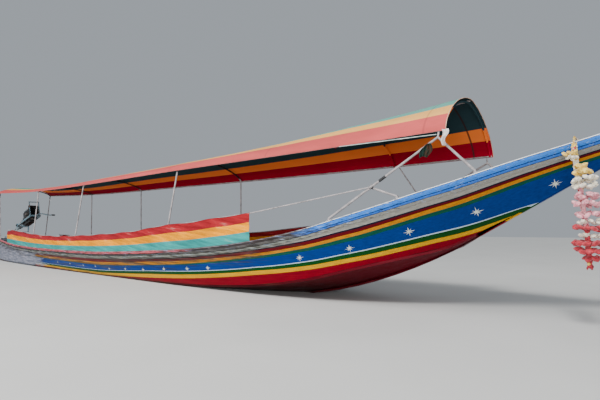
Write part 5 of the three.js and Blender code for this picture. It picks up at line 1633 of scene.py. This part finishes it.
# Pulleys of the crankshaft, the water pump and the alternator: y and w of the middle, and radius
PULLEYS = [((0.0, 0.0), 0.072), ((0.0, 0.170), 0.052), ((-0.126, 0.150), 0.034)]
pulley_parts = []
for (y, w), radius in PULLEYS:
    for u in (0.832, 0.852):
        pulley_parts.append(turned_bar("pulley_rim", (u, y, w), (u + 0.005, y, w), radius, 40, 0.001))
    pulley_parts.append(turned_bar("pulley_web", (0.834, y, w), (0.855, y, w), radius - 0.010, 40, 0.001))
    pulley_parts.append(turned_bar("pulley_nut", (0.855, y, w), (0.872, y, w), 0.016, 6, 0.002))
for name, (y, w), from_u, to_u, radius, sides, ease in (
    ("alternator_shaft", PULLEYS[2][0], 0.790, 0.834, 0.016, 20, 0.003),
    ("water_pump", PULLEYS[1][0], 0.780, 0.834, 0.040, 28, 0.005),
    ("alternator", PULLEYS[2][0], 0.690, 0.800, 0.043, 32, 0.008),
):
    pulley_parts.append(turned_bar(name, (from_u, y, w), (to_u, y, w), radius, sides, ease))
pulley_parts.append(cast_block("injection_pump", (0.56, 0.122, 0.120), (0.17, 0.044, 0.075), 0.008))
for k in range(4):
    u = 0.50 + 0.04 * k
    pulley_parts.append(turned_bar("pump_union", (u, 0.122, 0.155), (u, 0.122, 0.178), 0.008, 6, 0.001))
fit_on_shaft(pulley_parts, "pulleys_and_pumps", pulley_steel)

belt_path = []
for (y, w), radius, start, end in (
    (PULLEYS[0][0], 0.069, -150, 12), (PULLEYS[1][0], 0.049, 12, 100), (PULLEYS[2][0], 0.031, 100, 210),
):
    for k in range(9):
        angle = math.radians(start + (end - start) * k / 8)
        belt_path.append(Vector((0.8445, y + radius * math.cos(angle), w + radius * math.sin(angle))))
belt_path.append(belt_path[0])
rubber_parts = [bent_pipe("fan_belt", belt_path, 0.0055, 3, False)]

# Rubber hoses from the thermostat and the water pump to the radiator
UPPER_HOSE = [
    (0.790, 0.050, 0.305), (0.820, 0.056, 0.322), (0.860, 0.064, 0.330), (0.895, 0.072, 0.325),
    (0.930, 0.080, 0.320),
]
LOWER_HOSE = [
    (0.790, 0.095, 0.020), (0.830, 0.112, 0.036), (0.880, 0.116, 0.060), (0.930, 0.112, 0.075),
]
rubber_parts.append(bent_pipe("upper_hose", UPPER_HOSE, 0.019))
rubber_parts.append(bent_pipe("lower_hose", LOWER_HOSE, 0.018))
fit_on_shaft(rubber_parts, "belt_and_hoses", belt_rubber, degrees=50)

# Fuel lines from the pump to the injectors, over the head
fuel_lines = []
for k in range(4):
    u = 0.50 + 0.04 * k
    target = ENGINE_MID - 0.17 + 0.1 * k
    route = [
        (u, 0.122, 0.176), (u, 0.126, 0.215), (u + 0.01, 0.112, 0.290), ((u + target) / 2, 0.083, 0.318),
        (target, 0.062, 0.320), (target, 0.058, 0.303),
    ]
    fuel_lines.append(bent_pipe("fuel_line", route, 0.0032, 3))
fit_on_shaft(fuel_lines, "fuel_lines", pulley_steel, degrees=50)


# Radiator: a car radiator upright on the rails, with top and bottom tanks, a core of thin fins
# between two side plates, and a pressure cap.
RADIATOR_AT = 0.950
RADIATOR_LOW = 0.0255

# Thin painted fins: dark, in part as painted shade of the gaps between them, with a dull metal glint
# and some brown scale
fins_and_gap_shade = mottled_finish(
    "radiator_fins_painted_gap_shade", (12.0, 5.0, 0.55), [(0.3, "#1E1F20"), (0.6, "#3C3D3C"), (0.75, "#574636")],
    Metallic=0.6, Roughness=0.5,
)
radiator_parts = [
    cast_block("top_tank", (RADIATOR_AT, 0, RADIATOR_LOW + 0.310), (0.050, 0.286, 0.056), 0.010),
    cast_block("bottom_tank", (RADIATOR_AT, 0, RADIATOR_LOW + 0.025), (0.050, 0.286, 0.046), 0.008),
    turned_bar("cap", (RADIATOR_AT, -0.06, 0.3620), (RADIATOR_AT, -0.06, 0.3650), 0.022, 24, 0.002),
]
for y in (-0.141, 0.141):
    plate = cast_block("side_plate", (RADIATOR_AT, y, RADIATOR_LOW + 0.17), (0.046, 0.006, 0.30), 0.002)
    radiator_parts.append(plate)
fit_on_shaft(radiator_parts, "radiator_tanks", greasy_iron, ["radiator"])
fins = []
for k in range(34):
    w = RADIATOR_LOW + 0.050 + 0.234 * k / 33
    fins.append(cast_block("fin", (RADIATOR_AT, 0, w), (0.034, 0.276, 0.0014), 0.0004, 1))
for k in range(12):
    y = -0.132 + 0.264 * k / 11
    tube_middle = (RADIATOR_AT, y, RADIATOR_LOW + 0.167)
    fins.append(cast_block("water_tube", tube_middle, (0.022, 0.004, 0.25), 0.001, 1))
fit_on_shaft(fins, "radiator_core", fins_and_gap_shade)


# Exhaust: a mild steel pipe from the head, bent aft along the engine, with a slim muffler welded into
# its straight run. It was never painted.

# Rusted steel: flaky brown and quite matt, blued grey where it runs hottest
rusty_pipe = mottled_finish(
    "rusted_exhaust_steel", (22.0, 8.0, 0.72),
    [(0.3, "#2A1710"), (0.5, "#5B3020"), (0.65, "#7D4A2C"), (0.78, "#4A4543")], gloss=(0.3, 0.7, 0.6, 0.9),
    relief=(0.5, 0.001), Metallic=0.2,
)

EXHAUST_PATH = [
    (0.550, 0.0853, 0.240), (0.550, 0.120, 0.240), (0.547, 0.138, 0.244), (0.538, 0.152, 0.254),
    (0.520, 0.1653, 0.270), (0.490, 0.168, 0.300), (0.440, 0.1703, 0.350), (0.410, 0.1703, 0.366),
    (0.360, 0.1703, 0.376), (0.070, 0.1703, 0.420),
]
exhaust_parts = [
    bent_pipe("exhaust_bend", EXHAUST_PATH, 0.022),
    turned_bar("muffler", (0.330, 0.1703, 0.381), (0.130, 0.1703, 0.411), 0.0235, 32, 0.004),
    cast_block("flange", (0.550, 0.090, 0.240), (0.085, 0.008, 0.060), 0.003),
]
fit_on_shaft(exhaust_parts, "exhaust_pipe", rusty_pipe, ["exhaust"], 50)


# Tiller bar: a long bent steel pipe in the same paint, which is held to lift, swing and steer the whole
# drive, with a ribbed rubber grip pushed over its end.
CRADLE_FRONT = 1.060
TILLER_REACH = 2.400
GRIP_STEPS = 60
# How high the grip's ribs stand, as a share of its radius, and how close together, in radians a metre
GRIP_RIB = 0.07
GRIP_RIB_STEP = 520
TILLER_PATH = [
    (CRADLE_FRONT + 0.0003, 0, 0), (1.120, 0, 0), (1.170, 0, -0.003), (1.230, 0, -0.013),
    (1.480, 0, -0.070), (1.560, 0, -0.094), (1.960, 0, -0.260), (2.030, 0, -0.284), (2.110, 0, -0.308),
    (TILLER_REACH - 0.004, 0, -0.399),
]
tiller = bent_pipe("tiller_pipe", TILLER_PATH, 0.0165)
tiller.data.transform(TO_SHAFT)
fit(tiller, "tail", frame_paint, ["tiller_bar"])
grip_start = Vector(TILLER_PATH[-2]).lerp(Vector(TILLER_PATH[-1]), 0.45)
grip_end = Vector(TILLER_PATH[-1])
grip_points = [grip_start.lerp(grip_end, k / GRIP_STEPS) for k in range(GRIP_STEPS + 1)]
grip = bent_pipe("tiller_grip", grip_points, 0.020)
for corner in grip.data.vertices:
    along = (grip_end - grip_start).normalized()
    run = (corner.co - grip_start).dot(along)
    spot = grip_start + along * run
    corner.co = spot + (corner.co - spot) * (1 + GRIP_RIB * math.cos(run * GRIP_RIB_STEP))
grip.data.transform(TO_SHAFT)
fit(grip, "tail", belt_rubber)


# Shaft tube: a long steel tube that holds the propeller shaft in its bearings, with clamps, grease
# nipples and the skeg that keeps the propeller off the bottom. It's painted like the cradle.
shaft_tube = worked_copy("shaft_tube", "shaft_casing", 0.003)
fit(shaft_tube, "tail", frame_paint, ["shaft_tube"])
clamps = []
for u in (-0.62, -1.55, -2.60, -3.65, -4.55):
    clamps.append(turned_bar("bearing_band", (u - 0.035, 0, 0), (u + 0.035, 0, 0), 0.040, 36, 0.004))
    clamps.append(cast_block("band_ears", (u, 0, 0.046), (0.050, 0.016, 0.024), 0.003))
    clamps.append(turned_bar("band_bolt", (u, -0.022, 0.048), (u, 0.022, 0.048), 0.006, 6, 0.001))
    nipple_u = u + 0.045
    clamps.append(turned_bar("grease_nipple", (nipple_u, 0, 0.030), (nipple_u, 0, 0.050), 0.005, 10, 0.001))
fit_on_shaft(clamps, "shaft_bearing_bands", greasy_iron)

# Cast bronze: bright yellow metal on its faces, with greenish tarnish
bronze = mottled_finish(
    "cast_bronze", (20.0, 6.0, 0.55), [(0.3, "#7B5A2A"), (0.55, "#B08D45"), (0.75, "#5E6B45")],
    gloss=(0.3, 0.7, 0.25, 0.5), Metallic=1.0,
)
propeller = worked_copy("propeller", "propeller_casting", 0.0015, 40)
shape_with(propeller, "SUBSURF", levels=1, render_levels=1)
soften(propeller, 50)
fit(propeller, "propeller", bronze, ["propeller"])


# Bow garland: fresh flowers threaded on a string and laid across the bow as an offering, with its tail
# hanging to starboard: yellow and white marigold and jasmine above, pink and red blossoms below.
GARLAND_X = 7.69
GARLAND_RADIUS = 0.036
GARLAND_LENGTH = 1.29
half, sheer, chine_half, chine, keel = hull_at(GARLAND_X)
gunwale_side = half + 0.024
chain_top = sheer + CAP_RISE + GARLAND_RADIUS * 1.04 - 0.001
chain_side = gunwale_side + GARLAND_RADIUS + 0.020
# The chain's line from its starboard end: distance forward of GARLAND_X, y and z
GARLAND_PATH = [
    (0.095, -chain_side - 0.006, chain_top - GARLAND_LENGTH),
    (0.085, -chain_side - 0.008, chain_top - 0.75 * GARLAND_LENGTH),
    (0.045, -chain_side - 0.004, chain_top - 0.45 * GARLAND_LENGTH),
    (0.010, -chain_side - 0.002, chain_top - 0.20 * GARLAND_LENGTH),
    (0.000, -chain_side, chain_top - 0.070),
    (0.000, -gunwale_side - 0.018, chain_top),
    (0.000, -gunwale_side + 0.020, chain_top),
    (0.000, gunwale_side - 0.020, chain_top),
    (0.000, gunwale_side + 0.018, chain_top),
    (0.000, chain_side, chain_top - 0.070),
    (0.004, chain_side + 0.004, chain_top - 0.220),
]
GARLAND_FLOWERS = 620
# Each flower is turned by the golden angle round the string from the one before
GOLDEN_TURN = 2.399963
# Share of the chain's flowers that have a colour out of turn
STRAY_SHARE = 0.12
# How far along the chain each colour runs, as a share of its length; beyond the last they are mixed
GARLAND_RUNS = [(0.17, "red"), (0.34, "pink"), (0.44, "white"), (0.56, "yellow")]
# The fuller tiers of the hanging tail: height, distance forward, radius of the ring, radius of a
# flower, how many flowers, and their colour
GARLAND_TIERS = [
    (1.710, -0.030, 0.045, 0.026, 8, "yellow"), (1.680, -0.010, 0.040, 0.022, 7, "white"),
    (1.585, 0.060, 0.030, 0.032, 5, "yellow"), (1.525, 0.070, 0.055, 0.036, 7, "yellow"),
    (1.460, 0.080, 0.085, 0.034, 10, "white"), (1.390, 0.085, 0.080, 0.032, 9, "white"),
    (1.290, 0.095, 0.075, 0.038, 8, "pink"), (1.215, 0.100, 0.100, 0.036, 10, "pink"),
    (1.120, 0.105, 0.085, 0.034, 8, "pink"), (1.050, 0.110, 0.080, 0.028, 8, "white"),
    (0.985, 0.115, 0.115, 0.036, 11, "red"), (0.915, 0.115, 0.085, 0.028, 8, "white"),
    (0.840, 0.120, 0.125, 0.040, 11, "red"), (0.775, 0.120, 0.110, 0.038, 10, "red"),
    (0.705, 0.125, 0.060, 0.034, 6, "red"),
]
BLOSSOM_COLOURS = {
    "red": ("#8E1020", "#C22A3A"),
    "pink": ("#C26A7C", "#EBB0B4"),
    "white": ("#CFC4A8", "#F0EBDD"),
    "yellow": ("#C99A1E", "#EBD27A"),
}

bud = new_shape("blossom", "ico_sphere", subdivisions=2, radius=1)
for corner in bud.data.vertices:
    angle = math.atan2(corner.co.y, corner.co.x)
    frill = 1 + 0.22 * math.cos(6 * angle) * (1 - abs(corner.co.z))
    corner.co = Vector((corner.co.x * frill, corner.co.y * frill, corner.co.z * 0.62))
shape_with(bud, "DECIMATE", ratio=0.45)
# Petals: deep colour in the folds and pale at the tips, with a velvety sheen and no shine
for colour, (deep, pale) in BLOSSOM_COLOURS.items():
    petals = mottled_finish(
        f"fresh_{colour}_petals", (40.0, 4.0, 0.55), [(0.35, deep), (0.65, pale)], Roughness=0.6,
        Sheen_Weight=0.2,
    )
    bud.data.materials.append(petals)

path_points = [Vector(point) + Vector((GARLAND_X, 0, 0)) for point in GARLAND_PATH]
path_lengths = [0.0]
for start, end in zip(path_points, path_points[1:]):
    path_lengths.append(path_lengths[-1] + (end - start).length)


def threaded_flower(colour, placing):
    """One blossom in a colour, with its own mesh, at its place."""
    flower = own_copy(bud, "flower")
    for face in flower.data.polygons:
        face.material_index = list(BLOSSOM_COLOURS).index(colour)
    flower.data.transform(placing)
    return flower


chain = []
for k in range(GARLAND_FLOWERS):
    run = path_lengths[-1] * (k + 0.5) / GARLAND_FLOWERS
    piece = 0
    while path_lengths[piece + 1] < run:
        piece += 1
    share = (run - path_lengths[piece]) / (path_lengths[piece + 1] - path_lengths[piece])
    centre = path_points[piece].lerp(path_points[piece + 1], share)
    along = (path_points[piece + 1] - path_points[piece]).normalized()
    outward = Matrix.Rotation(k * GOLDEN_TURN, 3, along) @ along.orthogonal().normalized()
    size = random.uniform(0.011, 0.016)
    # Across the bow and down the port side the flowers are small and close to the string
    bare = 0.4 if piece > 3 else 1.0
    colour = next((name for share_to, name in GARLAND_RUNS if run / path_lengths[-1] < share_to), None)
    if colour is None:
        colour = random.choice(["white", "yellow", "white"])
    if random.random() < STRAY_SHARE:
        colour = random.choice(list(BLOSSOM_COLOURS))
    face_out = outward.to_track_quat("Z", "Y").to_matrix().to_4x4()
    placed = Matrix.Translation(centre + outward * random.uniform(0.012, 0.024) * bare) @ face_out
    turned = Matrix.Rotation(random.uniform(0, 6), 4, "Z") @ Matrix.Scale(size * bare, 4)
    chain.append(threaded_flower(colour, placed @ turned))
for height, forward, ring, size, count, colour in GARLAND_TIERS:
    for k in range(count):
        turn = 2 * math.pi * (k + random.uniform(-0.2, 0.2)) / count + height * 40
        centre = Vector((
            GARLAND_X + forward + ring * math.cos(turn), -chain_side - 0.05 + ring * math.sin(turn),
            height + random.uniform(-0.018, 0.018),
        ))
        tip = Matrix.Rotation(random.uniform(-0.7, 0.7), 4, "X")
        tip = Matrix.Translation(centre) @ tip @ Matrix.Rotation(random.uniform(-0.7, 0.7), 4, "Y")
        turned = Matrix.Rotation(random.uniform(0, 6), 4, "Z") @ Matrix.Scale(size, 4)
        chain.append(threaded_flower(colour, tip @ turned))
bpy.data.objects.remove(bud)
garland = joined(chain, "flower_chain")
soften(garland, 50)
fit(garland, "hull", None, ["bow_garland"])


# Stage: a plain pale floor at the waterline, where the mount sits, under a soft overcast sky, two broad
# lights and a pale sun. Where the hull dips below the waterline the floor has a hole that ends inside
# the planks.
FLOOR_REACH = 60.0
FLOOR_STATIONS = 40
HOLE_FROM_X = STERN_X - 0.014
HOLE_TO_X = 3.94
HOLE_INSET = 0.012


def floor_corner(i, j):
    share = max(0, min(i - 1, FLOOR_STATIONS - 2)) / (FLOOR_STATIONS - 2)
    x = HOLE_FROM_X + (HOLE_TO_X - HOLE_FROM_X) * share
    half, sheer, chine_half, chine, keel = hull_at(max(x, STERN_X))
    if chine < 0:
        inner = half + (chine_half - half) * sheer / (sheer - chine)
    else:
        inner = chine_half * max(0.0, -keel) / (chine - keel)
    inner = max(inner - HOLE_INSET, 0.01)
    if i == 0 or i == FLOOR_STATIONS:
        x = math.copysign(FLOOR_REACH, i - 1)
    return Vector((x, (-FLOOR_REACH, -inner, inner, FLOOR_REACH)[j], 0.0))


floor = lay_sheet("stage_floor", FLOOR_STATIONS, 3, floor_corner)
pick(floor)
bpy.ops.object.mode_set(mode="EDIT")
bpy.ops.mesh.select_mode(type="FACE")
bpy.ops.mesh.select_all(action="DESELECT")
bpy.ops.object.mode_set(mode="OBJECT")
for face in floor.data.polygons:
    face.select = abs(face.center.y) < 0.001 and STERN_X - 0.1 < face.center.x < HOLE_TO_X
bpy.ops.object.mode_set(mode="EDIT")
bpy.ops.mesh.delete(type="FACE")
bpy.ops.object.mode_set(mode="OBJECT")
# Plain matt studio floor, so pale and even that only the boat is looked at
floor_finish = mottled_finish(
    "matt_pale_floor", (0.6, 2.0, 0.55), [(0.3, "#C9C8C4"), (0.7, "#CFCECA")], Roughness=0.6
)
floor.data.materials.append(floor_finish)

sky = bpy.data.worlds.new("overcast_sky")
sky.use_nodes = True
sky.node_tree.nodes["Background"].inputs["Color"].default_value = (0.80, 0.87, 0.95, 1.0)
sky.node_tree.nodes["Background"].inputs["Strength"].default_value = 0.45
bpy.context.scene.world = sky
bpy.ops.object.light_add(type="AREA", location=(2.0, -9.0, 11.0), rotation=(math.radians(38), 0, 0))
window = bpy.context.object
window.data.shape = "RECTANGLE"
window.data.size = 16.0
window.data.size_y = 9.0
window.data.energy = 2000.0
bpy.ops.object.light_add(
    type="AREA", location=(9.0, -16.0, 2.2), rotation=(math.radians(88), 0, math.radians(24))
)
low_fill = bpy.context.object
low_fill.data.shape = "RECTANGLE"
low_fill.data.size = 14.0
low_fill.data.size_y = 3.6
low_fill.data.energy = 1700.0
bpy.ops.object.light_add(type="SUN", rotation=(math.radians(40), math.radians(10), 0))
daylight = bpy.context.object
daylight.data.energy = 2.0
daylight.data.angle = math.radians(12)
